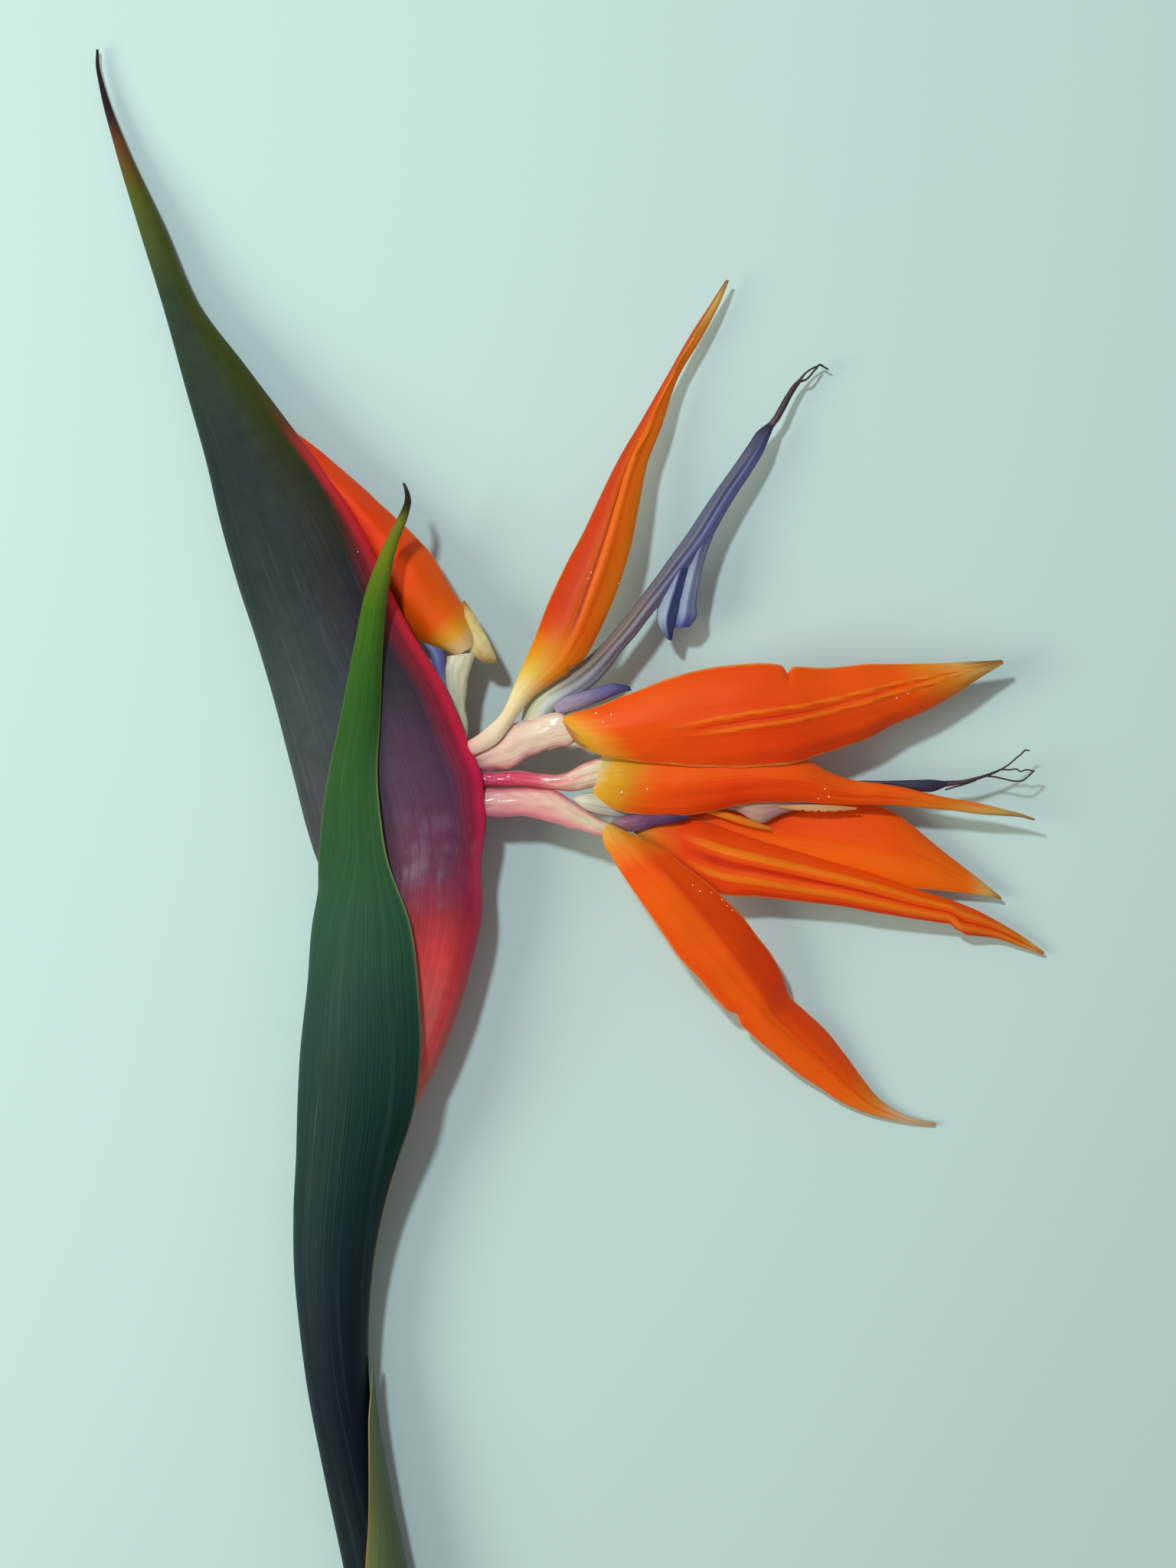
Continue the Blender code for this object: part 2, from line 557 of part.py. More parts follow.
clear_scene()
FLOWER = collection("bird_of_paradise_flower")
CUTTERS = collection("cutters")
orange = plain_material("sepal", ORANGE, 0.35)
pink = plain_material("pedicel", PINK, 0.4)
violet = plain_material("petal", VIOLET, 0.5)
dark = plain_material("style", DARK_VIOLET, 0.5)
spathe()
sheath("upper_sheath", UPPER_SHEATH, plain_material("upper_sheath", SHEATH_GREEN, 0.4), SHEATH_ROWS)
sheath("lower_sheath", LOWER_SHEATH, plain_material("lower_sheath", LOWER_GREEN, 0.45), LOWER_SHEATH_ROWS)
peduncle()
flower_1(orange, plain_material("cream_pedicel", CREAM, 0.4), violet)
flower_2(orange, pink, violet, dark)
flower_3(orange, pink, violet, dark)
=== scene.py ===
# %% [markdown]
# # A bird of paradise flower, cut and laid on its side
#
# The stem carries a boat-shaped bract, the spathe. Three flowers push out of the boat's mouth,
# each with orange sepals and a violet arrow of petals. This lesson builds the fine surface of
# each piece round the plain solids of the part, and paints it with node materials.

# %% Load the part
import math

import bmesh
import bpy
import numpy as np
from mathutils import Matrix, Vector


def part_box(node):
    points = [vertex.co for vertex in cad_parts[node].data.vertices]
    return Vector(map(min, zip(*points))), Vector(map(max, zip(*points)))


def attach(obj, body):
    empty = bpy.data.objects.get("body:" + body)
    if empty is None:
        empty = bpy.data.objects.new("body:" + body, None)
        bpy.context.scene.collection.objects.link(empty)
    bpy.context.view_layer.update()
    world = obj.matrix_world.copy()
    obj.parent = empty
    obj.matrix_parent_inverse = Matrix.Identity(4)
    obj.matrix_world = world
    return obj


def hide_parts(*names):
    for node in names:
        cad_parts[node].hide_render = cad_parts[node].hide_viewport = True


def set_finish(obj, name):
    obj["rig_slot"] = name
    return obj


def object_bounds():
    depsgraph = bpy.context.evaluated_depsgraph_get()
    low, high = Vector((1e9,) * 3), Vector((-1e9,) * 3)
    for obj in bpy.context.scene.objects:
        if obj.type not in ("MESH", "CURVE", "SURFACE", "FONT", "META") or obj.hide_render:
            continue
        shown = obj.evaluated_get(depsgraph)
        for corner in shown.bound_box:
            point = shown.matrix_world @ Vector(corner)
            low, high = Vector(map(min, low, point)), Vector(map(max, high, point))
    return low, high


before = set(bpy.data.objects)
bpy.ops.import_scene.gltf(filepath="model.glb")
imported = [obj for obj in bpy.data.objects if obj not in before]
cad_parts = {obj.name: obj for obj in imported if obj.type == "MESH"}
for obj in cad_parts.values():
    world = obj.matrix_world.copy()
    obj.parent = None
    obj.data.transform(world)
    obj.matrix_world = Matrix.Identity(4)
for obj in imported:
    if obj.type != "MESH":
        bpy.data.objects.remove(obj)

MM = 0.001
plain_box = [list(corner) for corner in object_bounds()]
low, high = np.array(plain_box)
print("the part measures", np.round((high - low) / MM, 1), "mm, in", len(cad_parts), "pieces")

# %% [markdown]
# ## The floor
#
# The flower lies on a pale plaster surface. One large plane does, because nothing else of the
# room is shown. It lies a hair below the part, so that the two never share a plane.

# %% Floor
FLOOR_SIZE = 12.0  # metres, so that its edge is far off in low views
FLOOR_GAP = 0.3 * MM
FLOOR_TINT = (0.61, 0.78, 0.75, 1)
FLOOR_ROUGHNESS = 0.85

bpy.ops.mesh.primitive_plane_add(size=FLOOR_SIZE, location=(0, 0, float(low[2]) - FLOOR_GAP))
floor = bpy.context.object
floor.name = "floor"
floor_paint = bpy.data.materials.new("pale_plaster")
floor_paint.use_nodes = True
floor_shader = floor_paint.node_tree.nodes["Principled BSDF"]
floor_shader.inputs["Base Color"].default_value = FLOOR_TINT
floor_shader.inputs["Roughness"].default_value = FLOOR_ROUGHNESS
floor.data.materials.append(floor_paint)
print("floor at", round(floor.location.z / MM, 2), "mm")

# %% [markdown]
# ## The light
#
# A small lamp high on the left, beyond the tip, gives the short, fairly crisp shadows that
# fall to the lower right. A wide lamp low on the left stands for a window, and gives a second
# shadow that is broad and faint. The world's grey light fills the rest.


# %% Lamps
def lamp(name, place, aim, size, power, tint):
    """A round area lamp at one point, turned towards another."""
    light = bpy.data.lights.new(name, "AREA")
    light.shape = "DISK"
    light.size = size
    light.energy = power
    light.color = tint
    holder = bpy.data.objects.new(name, light)
    bpy.context.scene.collection.objects.link(holder)
    holder.location = place
    back = Vector(place) - Vector(aim)
    holder.rotation_euler = back.to_track_quat("Z", "Y").to_euler()


MIDDLE = (float(low[0] + high[0]) / 2, float(low[1] + high[1]) / 2, 0)
lamp("key_lamp", (-0.247, 0.415, 0.80), MIDDLE, size=0.08, power=4.2, tint=(0.83, 0.94, 1.0))
lamp("window_lamp", (-0.62, -0.05, 0.42), MIDDLE, size=0.42, power=2.95, tint=(0.93, 1.0, 0.80))

# %% World
ROOM_TINT = (1.0, 0.94, 0.97, 1)
ROOM_LIGHT = 0.25

world = bpy.data.worlds.new("soft_room")
world.use_nodes = True
world_light = world.node_tree.nodes["Background"]
world_light.inputs["Color"].default_value = ROOM_TINT
world_light.inputs["Strength"].default_value = ROOM_LIGHT
bpy.context.scene.world = world
bpy.context.scene.view_settings.view_transform = "Standard"
print("the room's light:", ROOM_LIGHT)

# %% [markdown]
# ## The camera
#
# The camera looks straight down. Its lens follows from its height and from the length of floor
# that the picture takes in, and its place is measured from the part's lowest corner.

# %% Camera
CAMERA_HEIGHT = 0.9
CAMERA_FROM_CORNER = (0.0962, 0.2171)
FIELD = 0.3072  # metres of floor from the picture's bottom to its top
SENSOR = 36.0

lens = bpy.data.cameras.new("camera")
lens.sensor_width = SENSOR
lens.lens = SENSOR * CAMERA_HEIGHT / FIELD
camera = bpy.data.objects.new("camera", lens)
bpy.context.scene.collection.objects.link(camera)
camera_x, camera_y = (float(low[k]) + CAMERA_FROM_CORNER[k] for k in range(2))
camera.location = (camera_x, camera_y, CAMERA_HEIGHT)
bpy.context.scene.camera = camera
print("camera over", np.round(np.array(camera.location) / MM, 1), "mm, lens", round(lens.lens, 1))

# %% [markdown]
# ## Shader maths as plain expressions
#
# Plant colours change gradually along and across each piece, so the materials need a lot of
# arithmetic. A small class wraps the output of a node and overloads the operators, so that
# 1 - mask or stripes * 0.3 adds the right Math node.


# %% Wires
class Wire:
    """A node's output, which can be used in sums as a number can."""

    def __init__(self, skin, socket):
        self.skin = skin
        self.socket = socket

    def sum(self, operation, *values):
        return self.skin.node("ShaderNodeMath", {"operation": operation}, dict(enumerate(values)))

    def __add__(self, other):
        return self.sum("ADD", self, other)

    def __radd__(self, other):
        return self.sum("ADD", other, self)

    def __sub__(self, other):
        return self.sum("SUBTRACT", self, other)

    def __rsub__(self, other):
        return self.sum("SUBTRACT", other, self)

    def __mul__(self, other):
        return self.sum("MULTIPLY", self, other)

    def __rmul__(self, other):
        return self.sum("MULTIPLY", other, self)

    def __abs__(self):
        return self.sum("ABSOLUTE", self)


print("sums:", [name for name in vars(Wire) if name.startswith("__") and name.endswith("__")])

# %% [markdown]
# ## A material that builds itself
#
# Every node other than a sum comes from one method, which takes the node's type, its settings
# and its sockets. What varies over the surface is linked to the shader, and what is the same
# all over is set on the shader's own socket.


# %% Skins
class Skin:
    """A material whose nodes are written as expressions."""

    def __init__(self, name):
        self.material = bpy.data.materials.new(name)
        self.material.use_nodes = True
        self.tree = self.material.node_tree
        self.shader = self.tree.nodes["Principled BSDF"]

    def node(self, kind, settings=None, sockets=None, out=0):
        """Adds a node, sets its settings and then its sockets, and returns one of its outputs."""
        made = self.tree.nodes.new(kind)
        for key, value in (settings or {}).items():
            if key == "stops":
                self.set_stops(made.color_ramp, value)
            else:
                setattr(made, key, value)
        for key, value in (sockets or {}).items():
            self.join(value, made.inputs[key])
        return Wire(self, made.outputs[out])

    def set_stops(self, ramp, stops):
        while len(ramp.elements) < len(stops):
            ramp.elements.new(1)
        for element, (place, colour) in zip(ramp.elements, stops):
            element.position = place
            element.color = (*colour, 1)

    def join(self, value, socket):
        """Links a wire to a socket, or sets the socket to a number or colour."""
        if isinstance(value, Wire):
            self.tree.links.new(value.socket, socket)
        elif socket.type == "RGBA":
            socket.default_value = (*value, 1)
        else:
            socket.default_value = value

    def finish(self, colour, roughness, bump=None, depth=0.0, **constants):
        """Joins what varies to the shader, and sets what is the same all over. The bump's depth
        is in millimetres."""
        self.join(colour, self.shader.inputs["Base Color"])
        self.join(roughness, self.shader.inputs["Roughness"])
        if bump is not None:
            sockets = {"Strength": 1.0, "Distance": depth * MM, "Height": bump}
            self.join(self.node("ShaderNodeBump", None, sockets), self.shader.inputs["Normal"])
        for key, value in constants.items():
            self.shader.inputs[key.replace("_", " ")].default_value = value
        return self.material


print("a skin can:", [name for name in vars(Skin) if not name.startswith("_")])

# %% [markdown]
# ## Coordinates that grow with the piece
#
# A leaf's veins and colours follow its length. So each mesh carries a UV map called grown:
# U runs across from the left margin to the right one, or from keel to lip, and V runs along.
# These helpers read it, and stretch noise along it to make veins.


# %% Grown coordinates and the usual patterns
# numbers of sockets that have no name of their own, or share it with others
FACTOR, COLOUR_A, COLOUR_B, MIXED = 0, 6, 7, 2  # Mix, when it mixes colours
OBJECT_PLACE, STORED_NUMBER = 3, 2  # outputs of Texture Coordinate and of Attribute
VEIN_DETAIL, VEIN_ROUGHNESS, CLOUD_DETAIL = 2.0, 0.6, 3.0


class Leaf(Skin):
    """A skin with its grown coordinates ready: u across, v along."""

    def __init__(self, name):
        super().__init__(name)
        grown = self.node("ShaderNodeUVMap", {"uv_map": "grown"})
        self.u = self.node("ShaderNodeSeparateXYZ", None, {0: grown}, 0)
        self.v = self.node("ShaderNodeSeparateXYZ", None, {0: grown}, 1)
        self.place = self.node("ShaderNodeTexCoord", None, None, OBJECT_PLACE)

    def mix(self, share, first, second):
        """The first colour where share is 0, the second where it is 1."""
        sockets = {FACTOR: share, COLOUR_A: first, COLOUR_B: second}
        return self.node("ShaderNodeMix", {"data_type": "RGBA"}, sockets, MIXED)

    def tint(self, share, base, colour):
        """Multiplies the base by a colour, as far as share says."""
        settings = {"data_type": "RGBA", "blend_type": "MULTIPLY"}
        sockets = {FACTOR: share, COLOUR_A: base, COLOUR_B: colour}
        return self.node("ShaderNodeMix", settings, sockets, MIXED)

    def ramp(self, value, *stops):
        """Colours for values from 0 to 1. A stop is (value, colour)."""
        return self.node("ShaderNodeValToRGB", {"stops": stops}, {0: value})

    def step(self, value, start, end):
        """0 before start and 1 after end, with a smooth change between them."""
        sockets = {"Value": value, "From Min": start, "From Max": end}
        return self.node("ShaderNodeMapRange", {"interpolation_type": "SMOOTHSTEP"}, sockets)

    def band(self, value, centre, half):
        """1 at the centre, falling to 0 on both sides."""
        return 1 - self.step(abs(value - centre), half * 0.3, half)

    def veins(self, across, along, seed):
        """Noise from 0 to 1 with about that many lumps across the piece and along it."""
        sockets = {0: self.u * across, 1: self.v * along, 2: seed}
        spot = self.node("ShaderNodeCombineXYZ", None, sockets)
        sockets = {"Vector": spot, "Scale": 1.0}
        sockets.update({"Detail": VEIN_DETAIL, "Roughness": VEIN_ROUGHNESS})
        return self.node("ShaderNodeTexNoise", None, sockets)

    def mark(self, name):
        """A number stored on the mesh's points."""
        return self.node("ShaderNodeAttribute", {"attribute_name": name}, None, STORED_NUMBER)

    def cloud(self, size):
        """Noise in space, whose lumps are about that many millimetres."""
        sockets = {"Vector": self.place, "Scale": 1 / (size * MM), "Detail": CLOUD_DETAIL}
        return self.node("ShaderNodeTexNoise", None, sockets)


print("patterns:", [name for name in vars(Leaf) if not name.startswith("_")])

# %% [markdown]
# ## Shapes drawn through a few stations
#
# A grown shape has no flat faces or circles. Each piece is drawn through a few stations, each
# of which gives a point of the centre line and the section there, measured in millimetres from
# the lowest corner of the plain solid that it stands for. A smooth curve through the stations
# gives the fine rows between them.


# %% Smooth rows
def corner(node):
    """Lowest corner of a plain solid, in millimetres."""
    return np.array(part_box(node)[0]) * 1000


def through(stations, rows, line=None):
    """Rows spaced evenly on a smooth curve through the stations, whatever each one holds."""
    stations = np.array(stations, float)
    flat = stations.reshape(len(stations), -1)
    line = flat[:, :3] if line is None else np.array(line, float)
    reach = np.concatenate(([0], np.cumsum(np.linalg.norm(np.diff(line, axis=0), axis=1))))
    slope = np.gradient(flat, reach, axis=0)
    wanted = np.linspace(0, reach[-1], rows)
    k = np.clip(np.searchsorted(reach, wanted, side="right") - 1, 0, len(reach) - 2)
    span = (reach[k + 1] - reach[k])[:, None]
    t = (wanted - reach[k])[:, None] / span
    made = (1 + 2 * t) * (1 - t) ** 2 * flat[k] + t * (1 - t) ** 2 * span * slope[k]
    made += t**2 * (3 - 2 * t) * flat[k + 1] + t**2 * (t - 1) * span * slope[k + 1]
    return made.reshape(rows, *stations.shape[1:])


print("three rows from 0 to 8:", through([(0, 0, 0), (8, 0, 0)], 3)[:, 0])


# %% Directions and unevenness
def unit(vectors):
    return vectors / np.linalg.norm(vectors, axis=-1, keepdims=True)


def sideways(centre):
    """Level unit vectors to the right of a centre line, looking along it."""
    along = np.gradient(centre, axis=0)
    return unit(np.stack([along[:, 1], -along[:, 0], 0 * along[:, 0]], axis=1))


def centre_line(stations):
    """Middle between two edges, for stations that start with left x, y, right x, y and z."""
    return [((s[0] + s[2]) / 2, (s[1] + s[3]) / 2, s[4]) for s in stations]


def wander(v, a, seed):
    """Slow unevenness from -1 to 1, the same on every run."""
    first = np.sin(7.3 * v + 2.1 * a + 1.7 * seed) + np.sin(13.1 * v - 3.7 * a + 3.4 * seed)
    return (first + 0.6 * np.sin(23.9 * v + 5.3 * a + 5.1 * seed)) / 2.6


print("wander at a few places:", np.round(wander(np.linspace(0, 1, 4), 0, 1), 2))

# %% [markdown]
# ## One closed mesh from rings
#
# Every piece is a stack of rings with the same number of points, joined by four-sided faces
# and closed by a strip of faces at each end. Written straight from arrays this is quick, and
# the grown coordinates come out exact, with no unwrapping.

# %% Faces and closed bodies
SHARP = math.radians(55)


def ring_faces(rows, around):
    """Faces between the rings, and a strip across the first ring and the last."""
    k = np.arange(around)
    start = np.arange(rows - 1)[:, None] * around
    nxt = (k + 1) % around
    faces = np.stack([start + k, start + nxt, start + nxt + around, start + k + around], axis=-1)
    faces = faces.reshape(-1, 4).tolist()
    for base in (0, (rows - 1) * around):
        for j in range(around // 2 - 1):
            m = around - 1 - j
            faces.append((base + j, base + j + 1, base + m - 1, base + m))
    return faces


def body(name, rings, u, v, material, node, slot, **marks):
    """One closed mesh through the rings, with its grown coordinates, riding on the part. Each
    mark is one more number per point that its material may read."""
    rows, around = rings.shape[:2]
    faces = ring_faces(rows, around)
    made = rings.reshape(-1, 3)
    mesh = bpy.data.meshes.new(name)
    mesh.from_pydata((made * MM).tolist(), [], faces)
    shell = bmesh.new()
    shell.from_mesh(mesh)
    bmesh.ops.recalc_face_normals(shell, faces=shell.faces)
    shell.to_mesh(mesh)
    shell.free()
    corners = np.zeros(len(mesh.loops), int)
    mesh.loops.foreach_get("vertex_index", corners)
    if np.ndim(v) == 1:
        v = v[:, None]
    grown = np.stack(np.broadcast_arrays(u, v), axis=-1).reshape(-1, 2)
    grown_map = mesh.uv_layers.new(name="grown")
    grown_map.data.foreach_set("uv", grown[corners].astype(np.float32).ravel())
    for key, value in marks.items():
        mark = mesh.attributes.new(key, "FLOAT", "POINT")
        numbers = np.broadcast_to(value, (rows, around)).astype(np.float32)
        mark.data.foreach_set("value", numbers.ravel())
    mesh.shade_smooth()
    mesh.set_sharp_from_angle(angle=SHARP)
    mesh.materials.append(material)
    piece = bpy.data.objects.new(name, mesh)
    bpy.context.scene.collection.objects.link(piece)
    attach(piece, "root")
    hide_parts(node)
    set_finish(piece, slot)
    box = f"{np.round(made.min(0), 1)} to {np.round(made.max(0), 1)}"
    print(f"{name}: {len(faces)} faces, box {box} mm")


print("faces in a stack of 3 rings of 8 points:", len(ring_faces(3, 8)))

# %% [markdown]
# ## The spathe
#
# The spathe is a folded, boat-shaped leaf with a sharp tip. Its keel is on the left, and its two
# lips run down the right, where the flowers come out. Near the tip and below the flowers the
# lips meet, so the boat is closed there. A loft of open oval sections gives all of it, because
# the stations only change the size of the section, how far round it goes and how thick it is.

# %% Sections of the spathe
# keel x, y; mouth x, y; height of the middle; half thickness; degrees to the lip; wall
SPATHE = [
    (0, 222.2, 0.5, 222.2, 1.5, 0.35, 176, 0.2), (-0.1, 219.5, 0.6, 219.6, 1.5, 0.5, 176, 0.3),
    (0.6, 215, 1.6, 215.4, 1.6, 0.7, 176, 0.4), (3.8, 202.5, 6, 203.5, 2, 1.4, 176, 0.8),
    (8.5, 187, 13, 188.5, 3, 2.6, 176, 1.5), (13.5, 171, 19.7, 173.2, 4.2, 3.9, 172, 2),
    (18, 155, 29.7, 159.8, 5.4, 5.2, 166, 1.6), (22, 141, 39.8, 146.4, 6.6, 6.5, 162, 1.3),
    (25, 128.5, 47.5, 136, 7.7, 7.6, 160, 1.3), (28.5, 116.5, 53.5, 126, 8.5, 8.4, 160, 1.3),
    (31.5, 107.5, 58.5, 115, 8.9, 8.8, 160, 1.3), (34.1, 99, 63, 106.5, 9.2, 9.1, 160, 1.3),
    (35.8, 93, 68, 98.5, 9.4, 9.3, 160, 1.3), (37.7, 85.6, 71, 92, 9.5, 9.5, 160, 1.3),
    (39.6, 78.2, 73.4, 86, 9.5, 9.5, 160, 1.3), (41.6, 70.3, 75.7, 80, 9.5, 9.5, 161, 1.4),
    (43.6, 64, 76.1, 75.4, 9.4, 9.4, 163, 1.6), (45.3, 60, 76.4, 71.5, 9.4, 9.3, 166, 2),
    (45.6, 52.5, 75.4, 63, 9.3, 9.1, 172, 3), (44, 44.5, 75.7, 54, 9.2, 8.8, 176, 4.5),
    (43, 36, 73.5, 43, 9, 8.3, 177, 5), (42.3, 27, 70, 31.5, 8.8, 7.6, 177, 4.8),
    (42.2, 18.5, 65, 20, 8.6, 6.6, 177, 4.2), (43, 9.5, 58.5, 9.5, 8.4, 5.4, 177, 3.4),
    (44.5, 1, 53.5, 0, 8.3, 4.3, 177, 2.6),
]
SPATHE_ROWS = 280
SPATHE_ARC = 70
SPATHE_LENGTH = 222.2


def spathe_ring(keel_x, keel_y, mouth_x, mouth_y, z, half, lip, wall):
    """A section of the boat: round the keel from lip to lip, then back through the hollow. The
    wall is half as thick at the lips."""
    keel = np.array([keel_x, keel_y, z])
    reach = np.array([mouth_x - keel_x, mouth_y - keel_y, 0])
    reach = reach * 2 / (1 - math.cos(math.radians(lip)))
    depth = np.linalg.norm(reach)

    def oval(degrees, inset):
        angle = np.radians(degrees)[:, None]
        share = inset / depth + (1 - inset / depth) * (1 - np.cos(angle)) / 2
        return keel + reach * share + np.array([0, 0, 1]) * (half - inset) * np.sin(angle)

    round_it = np.linspace(lip, -lip, SPATHE_ARC)
    thin = wall * (1 - 0.5 * np.abs(round_it / lip) ** 4)
    return np.concatenate([oval(round_it, 0), oval(round_it[::-1], thin[::-1, None])])


spathe_table = through(SPATHE, SPATHE_ROWS, centre_line(SPATHE))
spathe_rings = np.array([spathe_ring(*row) for row in spathe_table])
print("the spathe has", spathe_rings.shape[0], "rings of", spathe_rings.shape[1], "points")

# %% [markdown]
# ## Colours of the spathe
#
# From tip to stem the bract goes from dark brown through olive to slate and plum, and below the
# flowers it turns salmon and cream. The colours differ across it too: the keel stays dark, and
# the margin beside the lip is crimson. So there is one ramp along the keel, one along the
# middle of the flank, one for the margin and one for the thin line on the lip.

# %% Ramps along the spathe
DARK, BROWN, OLIVE = (0.022, 0.006, 0.008), (0.17, 0.050, 0.008), (0.090, 0.105, 0.004)
KEEL = [
    (0, DARK), (0.055, (0.03, 0.008, 0.01)), (0.09, BROWN), (0.13, OLIVE),
    (0.22, (0.018, 0.04, 0.01)), (0.36, (0.007, 0.02, 0.016)), (0.47, (0.01, 0.022, 0.026)),
    (0.58, (0.034, 0.05, 0.054)), (0.68, (0.055, 0.048, 0.062)), (0.8, (0.09, 0.05, 0.06)),
    (0.9, (0.24, 0.09, 0.05)), (1, (0.3, 0.17, 0.07)),
]
# From 0.79 to 0.88 the red here and in CRIMSON is set close to full: the spathe's own red, raised
# further as painted light, because the lower flank slopes away from the lamp.
FLANK = [
    (0, DARK), (0.055, (0.032, 0.008, 0.01)), (0.09, BROWN), (0.13, OLIVE),
    (0.25, (0.058, 0.078, 0.004)), (0.34, (0.036, 0.046, 0.006)), (0.46, (0.022, 0.022, 0.022)),
    (0.56, (0.048, 0.034, 0.05)), (0.66, (0.13, 0.047, 0.1)), (0.73, (0.24, 0.052, 0.11)),
    (0.76, (0.44, 0.045, 0.065)), (0.79, (1, 0.08, 0.08)), (0.87, (1, 0.18, 0.15)),
    (0.935, (0.92, 0.42, 0.22)), (1, (0.66, 0.42, 0.22)),
]
CRIMSON = [
    (0, DARK), (0.09, BROWN), (0.18, (0.1, 0.08, 0.006)), (0.3, (0.16, 0.06, 0.008)),
    (0.36, (0.36, 0.016, 0.018)), (0.5, (0.38, 0.02, 0.032)), (0.62, (0.5, 0.012, 0.05)),
    (0.73, (0.46, 0.025, 0.07)), (0.8, (0.7, 0.03, 0.055)), (0.88, (1, 0.05, 0.075)),
    (0.95, (0.9, 0.26, 0.13)), (1, (0.6, 0.36, 0.18)),
]
LIP_LINE = [
    (0, DARK), (0.1, BROWN), (0.3, (0.16, 0.05, 0.02)), (0.36, (0.7, 0.02, 0.02)),
    (0.5, (0.72, 0.025, 0.045)), (0.6, (0.85, 0.012, 0.08)), (0.7, (0.88, 0.03, 0.14)),
    (0.76, (0.6, 0.03, 0.08)), (1, (0.6, 0.2, 0.1)),
]
HOLLOW = [(0.3, (0.2, 0.2, 0.09)), (0.5, (0.4, 0.3, 0.22)), (0.7, (0.6, 0.32, 0.28))]
print("stops along the spathe:", [len(ramp) for ramp in (KEEL, FLANK, CRIMSON, LIP_LINE, HOLLOW)])

# %% [markdown]
# ## Skin of the spathe
#
# The ramps are mixed across the leaf, and fine veins, a whitish bloom and paler streaks are
# laid over them. The margin's width comes from the rim mark, which is the distance from the
# lip in millimetres, because a share of the leaf's width would swell where the boat is deep.


# %% Paint the spathe
def spathe_skin():
    leaf = Leaf("spathe_rind")
    v = leaf.v + (leaf.cloud(16) - 0.5) * 0.05
    u = leaf.u + (leaf.veins(6, 5, 4) - 0.5) * 0.10
    rim, ragged = leaf.mark("rim"), leaf.veins(20, 3, 8) - 0.5
    keel, flank, crimson, lip_line = (leaf.ramp(v, *r) for r in (KEEL, FLANK, CRIMSON, LIP_LINE))
    colour = leaf.mix(leaf.step(u + (v - 0.8) * 0.5, 0.15, 0.62), keel, flank)
    margin = 3.0 + leaf.step(leaf.v, 0.36, 0.52) * 3.6
    near = 1 - leaf.step(rim + ragged * 1.6, 0.8, margin)
    colour = leaf.mix(near * leaf.step(leaf.v, 0.28, 0.38), colour, crimson)
    fine = leaf.veins(80, 3, 1)
    colour = leaf.tint(leaf.step(fine, 0.35, 0.75) * 0.42, colour, (0.55, 0.62, 0.62))
    colour = leaf.tint(leaf.step(leaf.cloud(3), 0.48, 0.70) * 0.35, colour, (0.62, 0.66, 0.74))
    pale = leaf.step(leaf.veins(36, 5, 9), 0.56, 0.76) * leaf.band(leaf.v, 0.55, 0.30)
    colour = leaf.mix(pale * 0.25, colour, (0.12, 0.115, 0.13))
    bloom = leaf.step(leaf.cloud(9), 0.42, 0.68) * leaf.band(leaf.v, 0.715, 0.05)
    bloom = bloom * leaf.step(leaf.u, 0.30, 0.6) * leaf.step(leaf.veins(24, 6, 31), 0.36, 0.6)
    colour = leaf.mix(bloom * 0.42, colour, (0.40, 0.34, 0.44))
    patch = leaf.band(leaf.v, 0.88, 0.045) * leaf.band(leaf.u, 0.62, 0.22)
    colour = leaf.mix(patch * 0.45, colour, (0.90, 0.36, 0.32))
    streaks = leaf.step(leaf.veins(14, 2.5, 12), 0.48, 0.66) * leaf.step(v, 0.78, 0.86)
    colour = leaf.mix(streaks * 0.30, colour, (0.85, 0.26, 0.20))
    line = 1 - leaf.step(rim + ragged * 0.5, 0.8, 2.6)
    colour = leaf.mix(line * leaf.step(leaf.v, 0.32, 0.38), colour, lip_line)
    colour = leaf.mix(leaf.mark("inside"), colour, leaf.ramp(leaf.v, *HOLLOW))
    bump = fine + leaf.cloud(1.2) * 0.4
    return leaf.finish(colour, 0.48 + leaf.cloud(3) * 0.14, bump, 0.10, Specular_IOR_Level=0.2)


spathe_paint = spathe_skin()
print("nodes in the spathe's material:", len(spathe_paint.node_tree.nodes))

# %% [markdown]
# ## Build the spathe
#
# U runs from the keel to either lip. Two marks go with the mesh: inside is 1 on the hollow
# face where the boat is open, and fades out where the lips close, and rim is the distance from
# the lip as seen from above.

# %% Marks and mesh of the spathe
CLOSED_AT, CLOSING = 165, 4  # degrees to the lip where the boat is shut, and the fade before it

lips = spathe_table[:, 6:7]
turn = np.cos(np.radians(lips * np.abs(np.linspace(1, -1, SPATHE_ARC))))
spathe_u = (1 - turn) / (1 - np.cos(np.radians(lips)))
spathe_v = 1 - spathe_rings[..., 1] / SPATHE_LENGTH
from_lip = np.linalg.norm((spathe_rings - spathe_rings[:, :1])[..., :2], axis=2)
hollow = np.clip((CLOSED_AT - lips) / CLOSING, 0, 1)
inside = np.hstack([np.zeros((SPATHE_ROWS, SPATHE_ARC)), np.repeat(hollow, SPATHE_ARC, axis=1)])
body(
    "boat_spathe", spathe_rings + corner("spathe"), np.hstack([spathe_u, spathe_u]), spathe_v,
    spathe_paint, "spathe", "spathe_skin", inside=inside, rim=from_lip,
)

# %% [markdown]
# ## The sheaths
#
# Two leafy bracts are rolled round the stem. The upper one covers the foot of the spathe, and
# its free blade runs up over the boat to a dark, hooked tip. The lower one starts further down
# and wraps round the upper one. Each is a loft of open arcs with a wall, so that one row says
# where the arc lies, how big it is and which part of the circle it covers.


# %% A rolled bract
SHEATH_ARC = 56
EVEN = 0.65  # the rest of the arc's points crowd towards its margins


